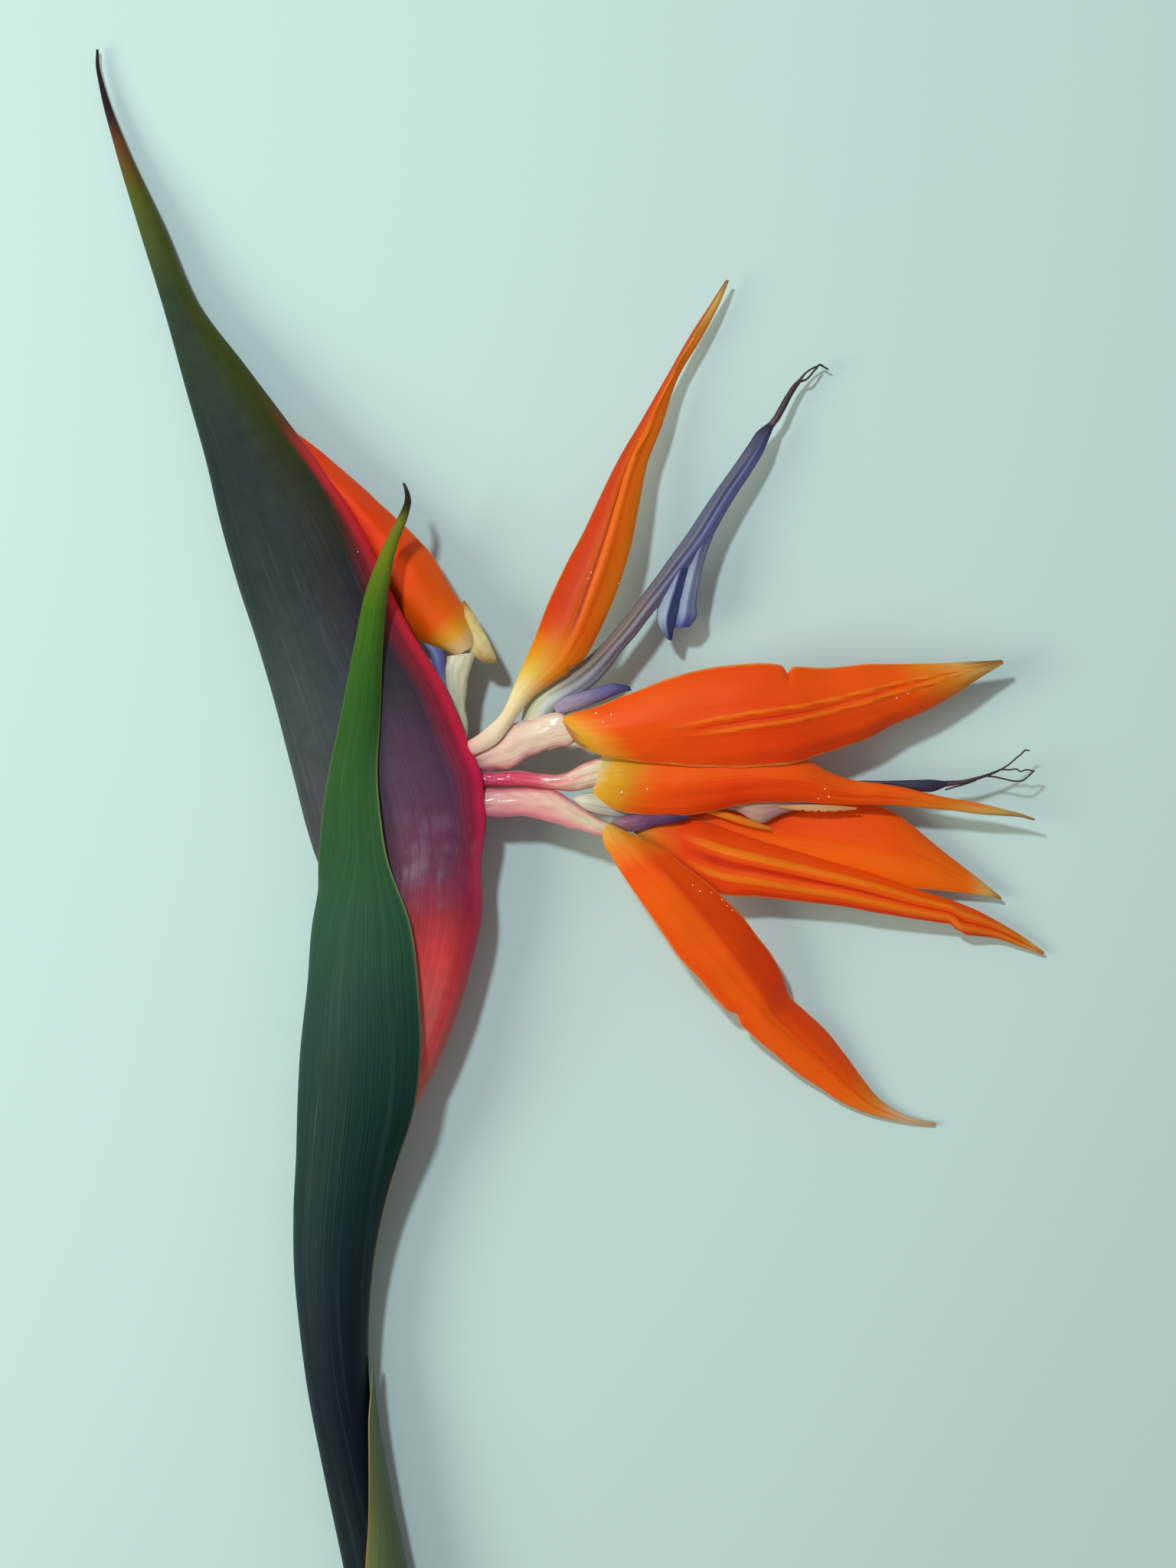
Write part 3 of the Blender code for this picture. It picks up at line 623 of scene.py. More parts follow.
def sheath(name, node, slot, stations, material, rows):
    """A bract rolled round the stem. A station is (y, centre x, z, half width, half height,
    first and last degrees from straight up, wall)."""
    share = (1 - np.cos(np.linspace(0, math.pi, SHEATH_ARC))) / 2
    share = (1 - EVEN) * share + EVEN * np.linspace(0, 1, SHEATH_ARC)
    rings = []
    for y, x, z, half_width, half_height, first, last, wall in stations:
        angle = np.radians(first + (last - first) * share)
        thin = wall * (1 - 0.55 * np.abs(2 * share - 1) ** 8)
        sides = [(half_width, half_height), (half_width - thin, half_height - thin)]
        arcs = [
            np.stack([w * np.sin(angle) + x, 0 * angle + y, h * np.cos(angle) + z], axis=1)
            for w, h in sides
        ]
        rings.append(np.concatenate([arcs[0], arcs[1][::-1]]))
    line = [(s[1], s[0], s[2]) for s in stations]
    rings = through(rings, rows, line) + corner(node)
    u = np.concatenate([share, share[::-1]])
    v = through([(*p, s[0]) for p, s in zip(line, stations)], rows)[:, 3]
    v = (v.max() - v) / (v.max() - v.min())
    lengths = np.linalg.norm(np.diff(rings[:, :SHEATH_ARC], axis=1), axis=2)
    rim = np.pad(np.cumsum(lengths, axis=1), ((0, 0), (1, 0)))
    rim = np.minimum(rim, rim[:, -1:] - rim)
    marks = {"inside": np.repeat([0, 1], SHEATH_ARC), "rim": np.hstack([rim, rim[:, ::-1]])}
    body(name, rings, u, v, material, node, slot, **marks)


print("an arc of a sheath has", SHEATH_ARC, "points on each face")

# %% [markdown]
# ## Skin of the upper sheath
#
# The blade is yellow-green at its tip, leaf green above and blue-black low on the stem, with
# fine parallel ribs. Below the middle its right margin has dried to a beige line.

# %% Ramps along the upper sheath
SHEATH_GREEN = [
    (0, (0.018, 0.005, 0.01)), (0.018, (0.035, 0.012, 0.01)), (0.027, (0.23, 0.24, 0.018)),
    (0.05, (0.2, 0.25, 0.006)), (0.09, (0.055, 0.165, 0.003)), (0.15, (0.028, 0.12, 0.01)),
    (0.22, (0.026, 0.1, 0.024)), (0.3, (0.017, 0.074, 0.032)), (0.37, (0.012, 0.05, 0.034)),
    (0.45, (0.004, 0.032, 0.028)), (0.54, (0.005, 0.021, 0.027)), (0.66, (0.001, 0.007, 0.016)),
    (0.8, (0.003, 0.011, 0.014)), (1, (0.05, 0.08, 0.03)),
]
SHEATH_LIGHT = [(0.05, (0.24, 0.3, 0.02)), (0.25, (0.07, 0.17, 0.04)), (0.5, (0.03, 0.075, 0.06))]
DRY_EDGE = [
    (0.05, (0.16, 0.2, 0.03)), (0.3, (0.26, 0.26, 0.1)), (0.46, (0.1, 0.12, 0.06)),
    (0.49, (0.42, 0.33, 0.19)), (0.6, (0.3, 0.24, 0.13)), (0.75, (0.06, 0.06, 0.03)),
]
print("stops along the sheath:", len(SHEATH_GREEN), len(SHEATH_LIGHT), len(DRY_EDGE))


# %% Paint the upper sheath
def upper_sheath_skin():
    leaf = Leaf("upper_sheath_rind")
    v = leaf.v + (leaf.cloud(20) - 0.5) * 0.02
    fine, broad = leaf.veins(120, 5, 2), leaf.veins(26, 3, 6)
    colour = leaf.ramp(v, *SHEATH_GREEN)
    colour = leaf.tint(leaf.step(fine, 0.40, 0.70) * 0.45, colour, (0.50, 0.60, 0.55))
    colour = leaf.mix(leaf.step(broad, 0.52, 0.75) * 0.30, colour, leaf.ramp(v, *SHEATH_LIGHT))
    glints = leaf.step(leaf.veins(150, 12, 21), 0.66, 0.76)
    glints = glints * leaf.step(leaf.veins(8, 5, 22), 0.45, 0.65)
    glints = glints * (1 - leaf.step(leaf.v, 0.5, 0.75))
    colour = leaf.mix(glints * 0.35, colour, (0.22, 0.30, 0.17))
    rim, right = leaf.mark("rim"), leaf.step(leaf.u, 0.6, 0.7)
    reach = 0.5 + leaf.step(leaf.v, 0.46, 0.56) * 1.2
    dry = (1 - leaf.step(rim, reach * 0.5, reach)) * right
    dry = dry * (0.45 + leaf.step(leaf.v, 0.44, 0.50) * 0.4)
    colour = leaf.mix(dry, colour, leaf.ramp(v, *DRY_EDGE))
    left_line = (1 - leaf.step(rim, 0.2, 0.6)) * (1 - right)
    colour = leaf.mix(left_line * 0.4, colour, (0.12, 0.18, 0.06))
    colour = leaf.mix(leaf.mark("inside") * 0.7, colour, (0.16, 0.22, 0.08))
    return leaf.finish(colour, 0.46 + leaf.cloud(4) * 0.12, fine, 0.14, Specular_IOR_Level=0.16)


upper_paint = upper_sheath_skin()
print("nodes in the upper sheath's material:", len(upper_paint.node_tree.nodes))

# %% Build the upper sheath
UPPER_SHEATH = [
    (274.5, 21.7, 14.6, 0.25, 0.25, -80, 80, 0.15), (273, 22.3, 15.4, 0.45, 0.45, -80, 80, 0.25),
    (271, 22.6, 16, 0.65, 0.6, -85, 85, 0.3), (268.5, 21.9, 16.4, 0.9, 0.8, -85, 85, 0.4),
    (263, 19.5, 16.8, 1.3, 1.1, -85, 85, 0.5), (254, 16.8, 17, 2.2, 1.8, -75, 75, 0.6),
    (243, 15.1, 17, 3.1, 2.4, -65, 65, 0.7), (229, 13.5, 17, 4.6, 2.9, -58, 58, 0.7),
    (220, 13.5, 15, 7.2, 4.4, -55, 28, 0.7), (211, 18, 9.8, 16, 9.7, -48, -2, 0.7),
    (202, 21, 8.4, 17.6, 10.8, -64, -7, 0.7), (190, 21, 8.2, 17.2, 10.5, -112, 7, 0.7),
    (177, 19.5, 8, 16.8, 10.2, -130, 18, 0.7), (164, 16.5, 7.8, 15.2, 9.2, -140, 34, 0.7),
    (154, 14.2, 7.6, 13.4, 8.3, -150, 45, 0.7), (144, 11.3, 7.3, 10.8, 7.4, -165, 60, 0.7),
    (134, 9.1, 7, 9.1, 6.9, -180, 75, 0.7), (122, 7.9, 6.4, 7.8, 6.4, -195, 85, 0.7),
    (110, 7.9, 6.1, 6.7, 6, -205, 95, 0.7), (98, 8.8, 5.8, 6, 5.8, -210, 105, 0.7),
    (86, 10.8, 5.7, 5.7, 5.7, -215, 115, 0.7), (65, 15.1, 5.7, 5.6, 5.6, -220, 125, 0.7),
    (40, 20, 5.6, 5.6, 5.6, -220, 125, 0.7), (20, 24.4, 5.6, 5.6, 5.6, -220, 125, 0.7),
    (0, 28.2, 5.6, 5.6, 5.6, -220, 125, 0.7),
]
UPPER_ROWS = 260
sheath(
    "rolled_upper_sheath", "upper_sheath", "upper_sheath_skin", UPPER_SHEATH, upper_paint,
    UPPER_ROWS,
)

# %% [markdown]
# ## The lower sheath
#
# The lower bract is a duller grey-green with a dry left margin. Its colours run across it more
# than along it, so its ramp reads U.


# %% Paint and build the lower sheath
LOWER_GREEN = [
    (0, (0.34, 0.2, 0.06)), (0.02, (0.16, 0.17, 0.05)), (0.12, (0.12, 0.16, 0.06)),
    (0.35, (0.08, 0.125, 0.05)), (0.7, (0.045, 0.08, 0.045)), (1, (0.1, 0.11, 0.04)),
]


def lower_sheath_skin():
    leaf = Leaf("lower_sheath_rind")
    colour = leaf.ramp(leaf.u, *LOWER_GREEN)
    fine = leaf.veins(90, 5, 3)
    colour = leaf.tint(leaf.step(fine, 0.40, 0.70) * 0.5, colour, (0.55, 0.62, 0.55))
    pale = leaf.step(leaf.veins(50, 8, 17), 0.60, 0.72)
    colour = leaf.mix(pale * 0.3, colour, (0.22, 0.26, 0.14))
    colour = leaf.mix(leaf.step(leaf.v, 0.9, 1.0) * 0.4, colour, (0.16, 0.22, 0.08))
    colour = leaf.mix(leaf.mark("inside") * 0.8, colour, (0.26, 0.28, 0.12))
    return leaf.finish(colour, 0.46 + leaf.cloud(4) * 0.12, fine, 0.12, Specular_IOR_Level=0.3)


LOWER_SHEATH = [
    (105.5, -6.2, 7.2, 7.3, 6.9, 85, 95, 0.3), (101, -5.9, 7.2, 7.3, 7, 74, 106, 0.5),
    (94, -4.9, 7.1, 7.1, 6.9, 52, 125, 0.6), (86, -3.5, 7, 7, 7, 37, 145, 0.6),
    (75, -1.3, 7, 6.9, 6.8, 16, 165, 0.6), (65, 0.8, 7, 6.9, 6.8, -7, 185, 0.6),
    (40, 5.7, 6.9, 6.9, 6.8, -25, 200, 0.6), (20, 10.1, 6.9, 6.9, 6.8, -35, 210, 0.6),
    (0, 13.9, 6.9, 6.9, 6.8, -40, 215, 0.6),
]
LOWER_ROWS = 120
sheath(
    "rolled_lower_sheath", "lower_sheath", "lower_sheath_skin", LOWER_SHEATH,
    lower_sheath_skin(), LOWER_ROWS,
)

# %% [markdown]
# ## Round pieces
#
# The stem and the styles are round, so a tube through a few stations is the plain way. Its U is
# the place across the tube as seen from above, so streaks of colour need no seam.


# %% Tubes
ROUND = 40
TUBE_SWELL = 0.03


def ring_angles():
    """Angles round a tube, set off by half a step so that both halves match."""
    return (np.arange(ROUND) + 0.5) * 2 * math.pi / ROUND


def tube(stations, rows):
    """Rings of an oval tube set square to its centre line, and how far across each point is. A
    station is (x, y, z, width, height)."""
    points = through(stations, rows)
    centre = points[:, :3]
    width, height = (column[:, None, None] for column in points[:, 3:].T)
    side = sideways(centre)
    up = unit(np.cross(side, np.gradient(centre, axis=0)))
    angle = ring_angles()
    v = np.linspace(0, 1, rows)
    swell = 1 + TUBE_SWELL * wander(v[:, None] * 2, 2 * np.cos(angle), len(stations))
    wide = np.cos(angle)[:, None] * width / 2 * swell[..., None]
    tall = np.sin(angle)[:, None] * height / 2 * swell[..., None]
    rings = centre[:, None] - side[:, None] * wide + up[:, None] * tall
    return rings, (1 - np.cos(angle)) / 2, v


print("a tube has", ROUND, "points a ring")

# %% [markdown]
# ## The stem
#
# Only the stem's cut end shows, between the sheaths. Its flesh is pale green, and the cut face
# has the small dark pores of its fibres. A row of stations down the middle is enough.

# %% Stem
PEDUNCLE = [
    (6.1, 138.1, 5.3, 6.4, 6.4), (4.9, 124.5, 4.7, 7.6, 7.6), (4, 112.5, 4.3, 8, 8),
    (4.8, 99.5, 4, 8, 8), (6.9, 86.5, 3.9, 8, 8), (11.2, 65.5, 3.9, 8, 8), (16.1, 40.5, 3.8, 8, 8),
    (20.5, 20.5, 3.8, 8, 8), (24.3, 0.5, 3.8, 8, 8),
]
STEM_ROWS = 120


def stem_skin():
    leaf = Leaf("stem_flesh")
    fine = leaf.veins(40, 40, 5)
    colour = leaf.ramp(fine, (0.3, (0.20, 0.30, 0.10)), (0.6, (0.32, 0.42, 0.18)))
    pores = leaf.step(leaf.cloud(0.8), 0.55, 0.62)
    cut_face = leaf.mix(pores, (0.62, 0.64, 0.40), (0.30, 0.30, 0.14))
    colour = leaf.mix(leaf.step(leaf.v, 0.985, 0.995), colour, cut_face)
    roughness = 0.45 + leaf.cloud(2) * 0.1
    return leaf.finish(colour, roughness, fine, 0.12, Coat_Weight=0.1, Coat_Roughness=0.3)


stem_rings, stem_u, stem_v = tube(PEDUNCLE, STEM_ROWS)
stem_rings = stem_rings + corner("peduncle")
body("cut_stem", stem_rings, stem_u, stem_v, stem_skin(), "peduncle", "stem_flesh")

# %% [markdown]
# ## The flowers' stalks
#
# Inside the boat's mouth the flowers' stalks are wet, half clear flesh. Each is an oval body
# drawn between a left and a right edge, because their outlines are what is easiest to read off
# a real flower. Shallow grooves along them catch the light.

# %% Fleshy stalks
FLESH_ROWS = 70
FLESH_SWELL = 0.05


def flesh(name, node, slot, stations, material, grooves=(), rows=FLESH_ROWS):
    """An oval body between two edges. A station is (left x, y, right x, y, height of the middle,
    thickness), and a groove is (degrees from the left, spread, depth)."""
    points = through(stations, rows, centre_line(stations))
    left, right, z, height = points[:, :2], points[:, 2:4], points[:, 4], points[:, 5]
    angle = ring_angles()
    v = np.linspace(0, 1, rows)
    swell = 1 + FLESH_SWELL * wander(v[:, None] * 2, 2 * np.cos(angle), len(name))
    for degrees, spread, depth in grooves:
        swell = swell - depth * np.exp(-(((np.degrees(angle) - degrees) / spread) ** 2))
    across = -np.cos(angle) / 2
    flat = (left + right)[:, None] / 2 + (right - left)[:, None] * (across * swell)[..., None]
    up = z[:, None] + np.sin(angle) * swell * height[:, None] / 2
    rings = np.concatenate([flat, up[..., None]], axis=2)
    body(name, rings + corner(node), (1 - np.cos(angle)) / 2, v, material, node, slot)


print("a stalk has", FLESH_ROWS, "rings unless it is short")

# %% [markdown]
# ## Skin of the stalks
#
# They blush from hot pink deep in the boat to cream where they meet the petals. One ramp runs
# along, each edge has its own colour, and streaks and fine fair veins lie over them. A coat
# makes them wet, and a little scattering under the surface makes them look full of water.


# %% Paint for the stalks
def flesh_skin(name, stops, left, right, streak, seed, fair=0.3):
    """Colours along the stalk; left and right are (colour, how far in from that edge)."""
    leaf = Leaf(name)
    wobble = (leaf.veins(5, 3, seed + 9) - 0.5) * 0.18
    colour = leaf.ramp(leaf.v + wobble, *stops)
    colour = leaf.mix(leaf.step(leaf.veins(8, 2.2, seed), 0.48, 0.66) * 0.55, colour, streak)
    near_left = 1 - leaf.step(leaf.u + wobble, -left[1] * 0.4, left[1])
    near_right = 1 - leaf.step(1 - leaf.u + wobble, -right[1] * 0.4, right[1])
    colour = leaf.mix(near_left * 0.9, colour, left[0])
    colour = leaf.mix(near_right * 0.9, colour, right[0])
    fine = leaf.veins(32, 3, seed + 3)
    colour = leaf.mix(leaf.step(fine, 0.56, 0.75) * fair, colour, (0.88, 0.74, 0.60))
    colour = leaf.tint(leaf.step(leaf.cloud(1.5), 0.60, 0.75) * 0.30, colour, (0.8, 0.55, 0.5))
    return leaf.finish(
        colour, 0.24 + leaf.cloud(2) * 0.14, fine + leaf.cloud(0.9) * 0.4, 0.12, Coat_Weight=0.5,
        Coat_Roughness=0.08, Subsurface_Weight=0.10, Subsurface_Scale=0.002,
    )


# the third colour is a dark crimson for the edge where the upper strand of flower 3 meets the lower
# one: painted shade in the crevice between them
CREAM, SALMON, SEAM_SHADE = (0.84, 0.68, 0.46), (0.85, 0.36, 0.30), (0.45, 0.02, 0.06)
print("the stalks run from", SALMON, "to", CREAM)

# %% [markdown]
# ## The claw of flower 1
#
# The youngest flower is still half inside the boat. Its narrow cream foot bends like a claw, so
# its stations turn as they go down.

# %% Claw of flower 1
CLAW_1 = [
    (6, 20.2, 12.2, 21.1, 1.3, 2.6), (5.5, 17.5, 10.6, 17.1, 1.5, 2.8),
    (5.8, 14.2, 10, 13.2, 1.5, 2.8), (6.9, 11.3, 9.7, 10.7, 1.5, 2.8),
    (8.1, 8, 10.3, 7.4, 1.5, 2.6), (7.5, 4.1, 9.8, 3.2, 1.4, 2.6), (4.8, 0.3, 7.5, -0.9, 1.5, 2.8),
    (1.7, -2.7, 4.2, -4.8, 1.6, 3),
]
claw_cream = flesh_skin(
    "claw_cream", [(0, (0.7, 0.62, 0.4)), (0.4, (0.76, 0.72, 0.48)), (1, (0.7, 0.68, 0.46))],
    ((0.55, 0.5, 0.26), 0.2), ((0.62, 0.6, 0.36), 0.2), (0.66, 0.74, 0.58), 1,
)
flesh(
    "claw_of_flower_1", "pedicel_1", "cream_pedicel", CLAW_1, claw_cream,
    [(70, 16, 0.10), (115, 12, 0.08)],
)

# %% [markdown]
# ## The stalk of flower 2
#
# The stalk is a thick, pale pink body, which widens towards the petals. A thinner cream strand
# lies beside its end and leads to the violet flap.

# %% Stalk and strand of flower 2
FLESH_2 = [
    (1.5, 3.6, 2.1, -0.8, 2, 4), (5.7, 5.7, 6.3, 0.7, 2.3, 4.4), (9, 7.5, 9.7, 1, 2.8, 4.8),
    (11.9, 9.6, 13.1, 1.4, 3.6, 5), (14.9, 10.4, 16.7, 3.5, 4.4, 4.8),
    (17.9, 11, 19.8, 4.7, 5.2, 4.2), (20.5, 11.9, 22.6, 5.4, 5.8, 3.4),
    (22.8, 11.9, 24.5, 6, 6.3, 2.4), (24.4, 10.7, 25.6, 6.9, 6.6, 1.4),
]
pale_blush = flesh_skin(
    "pale_blush",
    [(0, (0.8, 0.44, 0.38)), (0.35, (0.82, 0.52, 0.42)), (0.7, (0.86, 0.62, 0.46)), (1, CREAM)],
    ((0.82, 0.5, 0.42), 0.25), ((0.76, 0.22, 0.26), 0.25), (0.88, 0.46, 0.42), 2,
)
flesh(
    "stalk_of_flower_2", "pedicel_2", "pink_pedicel", FLESH_2, pale_blush,
    [(60, 12, 0.08), (110, 10, 0.07)],
)
STRAND_2 = [
    (21.1, 7.5, 20.2, 4.8, 5.4, 2.2), (23.9, 7.5, 23.5, 5.5, 5.6, 1.9),
    (26.7, 6.7, 26.6, 5.2, 5.4, 1.6), (29.1, 5.8, 28.8, 4.5, 5.1, 1.4),
    (31.2, 5, 30.9, 3.8, 4.8, 1),
]
cream_strand = flesh_skin(
    "cream_strand", [(0, (0.84, 0.5, 0.4)), (0.3, CREAM), (1, (0.8, 0.66, 0.4))],
    ((0.72, 0.4, 0.26), 0.2), ((0.6, 0.26, 0.18), 0.25), (0.86, 0.62, 0.46), 3,
)
flesh(
    "strand_of_flower_2", "pedicel_2", "pink_pedicel", STRAND_2, cream_strand, [(90, 14, 0.08)],
    50,
)

# %% [markdown]
# ## The strands of flower 3
#
# The stalk of the third flower has split into two strands. The upper one is hot rose in the
# boat, and the lower one is fairer with rose edges, so each has a ramp of its own.

# %% Strands of flower 3
UPPER_3 = [
    (3.4, 12.2, 3.4, 9.3, 2.3, 3.6), (7.6, 12.4, 7.6, 9.6, 2.5, 4), (13, 12.7, 13, 9.6, 2.9, 4),
    (17.8, 12.1, 17.8, 9.3, 3.5, 3.8), (21.4, 12.1, 21.4, 8.8, 4.1, 3.4),
    (25.4, 13.9, 24.9, 8.8, 4.5, 2.8), (28.6, 15, 28.3, 9.3, 4.7, 2.2),
    (30.7, 15.5, 30.4, 8.4, 4.9, 1.4),
]
hot_rose = flesh_skin(
    "hot_rose",
    [
        (0, (0.76, 0.035, 0.13)), (0.45, (0.82, 0.06, 0.14)), (0.62, SALMON), (0.82, CREAM),
        (1, (0.84, 0.7, 0.4)),
    ],
    ((0.84, 0.2, 0.22), 0.15), (SEAM_SHADE, 0.35), (0.84, 0.1, 0.18), 4, fair=0.1,
)
flesh("upper_strand_of_flower_3", "pedicel_3", "pink_pedicel", UPPER_3, hot_rose, [(80, 12, 0.08)])
LOWER_3 = [
    (3.8, 9.3, 3.4, 3.6, 2.1, 4.2), (7.8, 9.4, 7.8, 3.5, 2.3, 4.6), (12, 9.4, 11.7, 3.8, 2.6, 4.6),
    (16.5, 9.3, 16, 3.5, 3.1, 4.2), (20.6, 8.7, 19.7, 2.6, 3.5, 3.8),
    (23.1, 7.2, 22.7, 1.7, 3.9, 3.4), (26.1, 5, 25.4, 1, 4.2, 2.8), (29.1, 3.2, 28, 0.2, 4.5, 2.2),
    (30.8, 2.5, 30.1, 0.1, 4.7, 1.2),
]
fair_rose = flesh_skin(
    "fair_rose",
    [(0, (0.8, 0.34, 0.34)), (0.5, (0.86, 0.46, 0.38)), (0.8, CREAM), (1, (0.84, 0.72, 0.46))],
    ((0.74, 0.04, 0.13), 0.3), ((0.84, 0.1, 0.22), 0.62), (0.88, 0.44, 0.4), 5,
)
flesh(
    "lower_strand_of_flower_3", "pedicel_3", "pink_pedicel", LOWER_3, fair_rose,
    [(62, 12, 0.09), (112, 12, 0.06)],
)

# %% [markdown]
# ## Blades
#
# A sepal or a petal is a thin, arched blade. Its stations give a point on each edge, the height,
# how far the middle rises above the edges, and the tilt. Ridges, nicks in the edge and a slow
# unevenness are added to the fine rows, so that they are real shape and not only shading.

# %% A blade with ridges and nicks
BLADE_ROWS = 150
BLADE_ACROSS = 44
RIDGE_FADE = 0.12  # of the blade's length


def middle_face(points, v, a, ridges, nicks, ripple, seed):
    """Middle face of a blade: the outline with its nicks, then the heights with the ridges."""
    left, right = points[:, None, :2], points[:, None, 2:4]
    z, rise, tilt = (column[:, None] for column in points[:, 4:].T)
    width = np.linalg.norm(right - left, axis=2)
    reach = 1 + 0.02 * wander(2.4 * v, np.sign(a), seed + 3)
    for side, along, long, depth in nicks:
        cut = depth * np.clip(1 - np.abs(v - along) / long, 0, 1) ** 1.5
        reach = reach - 2 * cut / np.maximum(width, 1) * np.clip(a * side, 0, 1) ** 3
    flat = (left + right) / 2 + (right - left) / 2 * (a * reach)[..., None]
    lift = z + rise * (1 - a**2) - tilt * a / 2
    uneven = wander(v * 1.5, a * 1.4, seed) * (1 - 0.3 * a**2)
    lift = lift + ripple * np.clip(width / 8, 0, 1) * uneven
    for first, last, spread, height, start, end in ridges:
        window = np.clip((v - start) / RIDGE_FADE, 0, 1) * np.clip((end - v) / RIDGE_FADE, 0, 1)
        lift = lift + height * window * np.exp(-(((a - first - (last - first) * v) / spread) ** 2))
    return np.concatenate([flat, lift[..., None]], axis=2), width


def blade(name, node, slot, stations, thick, material, ridges=(), nicks=(), ripple=0.12, seed=0,
          rows=BLADE_ROWS):
    """A thin arched body. A station is (left x, y, right x, y, height of the edges, rise of the
    middle, tilt). A ridge is (across at base, across at tip, half width, height, start, end). A
    nick is (side, along, half length, depth). Across runs from -1 to 1."""
    points = through(stations, rows, centre_line(stations))
    v = np.linspace(0, 1, rows)[:, None]
    a = np.sin(np.linspace(-math.pi / 2, math.pi / 2, BLADE_ACROSS))[None, :]
    middle, width = middle_face(points, v, a, ridges, nicks, ripple, seed)
    normal = unit(np.cross(np.gradient(middle, axis=0), np.gradient(middle, axis=1)))
    normal *= -np.sign(normal[..., 2:])
    half = thick / 2 * (1 - 0.35 * a**2 - 0.4 * a**12) * np.clip(width / 5, 0.3, 1)
    offset = normal * half[..., None]
    rings = np.concatenate([middle - offset, (middle + offset)[:, ::-1]], axis=1)
    u = (a[0] + 1) / 2
    body(name, rings + corner(node), np.concatenate([u, u[::-1]]), v[:, 0], material, node, slot)


print("a blade has", BLADE_ROWS, "rows of", BLADE_ACROSS, "points on each face")

# %% [markdown]
# ## Skin of the sepals
#
# Sepals are waxy and orange, yellow where they join the stalk and brown at the tip. The ramp
# along them can be skewed, so that a colour reaches further on one edge. The side of a sepal
# that faces the lamp is painted lighter, as painted light. Bands are long soft stripes beside the
# folds, which start only where the sepal has left its stalk; most are painted highlights on the
# crests and painted shade in the creases.

# %% Paint for the sepals
# LIGHT is a paler orange: painted light on the side of a sepal that faces the lamp, and one stop
# near the back sepal's tip
RED, ORANGE, LIGHT = (0.90, 0.055, 0.002), (0.97, 0.095, 0.002), (1.0, 0.17, 0.003)
YELLOW, OCHRE, TIP_BROWN = (0.74, 0.36, 0.012), (0.74, 0.45, 0.11), (0.30, 0.15, 0.04)
PALE = (0.76, 0.60, 0.34)


def sepal_skin(name, stops, seed, light_side=0.8, light=0.5, bands=(), skew=0.0):
    """Waxy orange. Stops are the colours from v = 0 to 1, which a skew draws further along on
    the right edge than on the left one. Light_side is the u of the side that faces the lamp, which
    is painted lighter by the share light, and a band is (u at the base, u at the tip, half width,
    colour, share, first v). Most bands are painted light and shade: highlights on the crests of
    folds, shade in the creases."""
    leaf = Leaf(name)
    fine = leaf.veins(60, 2, seed)
    broad = leaf.veins(7, 1.5, seed + 5)
    edge = abs(leaf.u * 2 - 1)
    v = leaf.v + (broad - 0.5) * 0.06
    colour = leaf.ramp(v - (leaf.u - 0.5) * skew, *stops)
    orange = leaf.step(leaf.v, 0.12, 0.2) * (1 - leaf.step(leaf.v, 0.86, 0.94))
    # painted light: the side of the sepal that faces the lamp is mixed towards a paler orange
    painted_light_side = leaf.band(leaf.u + (broad - 0.5) * 0.25, light_side, 0.45) * orange
    colour = leaf.mix(painted_light_side * light, colour, LIGHT)
    colour = leaf.mix(leaf.step(broad, 0.55, 0.72) * orange * 0.35, colour, RED)
    # most bands paint light and shade: bright ones are painted highlights on the crests of folds,
    # dark ones painted shade in the creases
    for base, tip, half, paint, share, start in bands:
        place = leaf.u - leaf.v * (tip - base) + (fine - 0.5) * 0.05
        shown = leaf.step(leaf.v, start, start + 0.1) * share
        colour = leaf.mix(leaf.band(place, base, half) * shown, colour, paint)
    margin = leaf.step(edge + (leaf.veins(2, 18, seed + 2) - 0.5) * 0.10, 0.93, 1.0)
    colour = leaf.mix(margin * 0.6, colour, OCHRE)
    colour = leaf.tint(leaf.step(fine, 0.45, 0.72) * 0.28, colour, (0.90, 0.62, 0.6))
    colour = leaf.tint(leaf.step(leaf.cloud(2.2), 0.60, 0.75) * 0.12, colour, (0.85, 0.7, 0.6))
    roughness = 0.38 + leaf.cloud(3) * 0.14
    return leaf.finish(
        colour, roughness, fine * 0.8 + leaf.cloud(0.7) * 0.3, 0.09, Specular_IOR_Level=0.16,
        Subsurface_Weight=0.05, Subsurface_Scale=0.001,
    )


SEPAL = "orange_sepal"
print("the sepals are mixed from", RED, ORANGE, LIGHT)

# %% [markdown]
# ## The sepal of flower 1
#
# This sepal still lies in the boat's mouth with its tip at the upper left, so its blade starts
# there and ends at the claw. It is the reddest, because it has seen the least light.

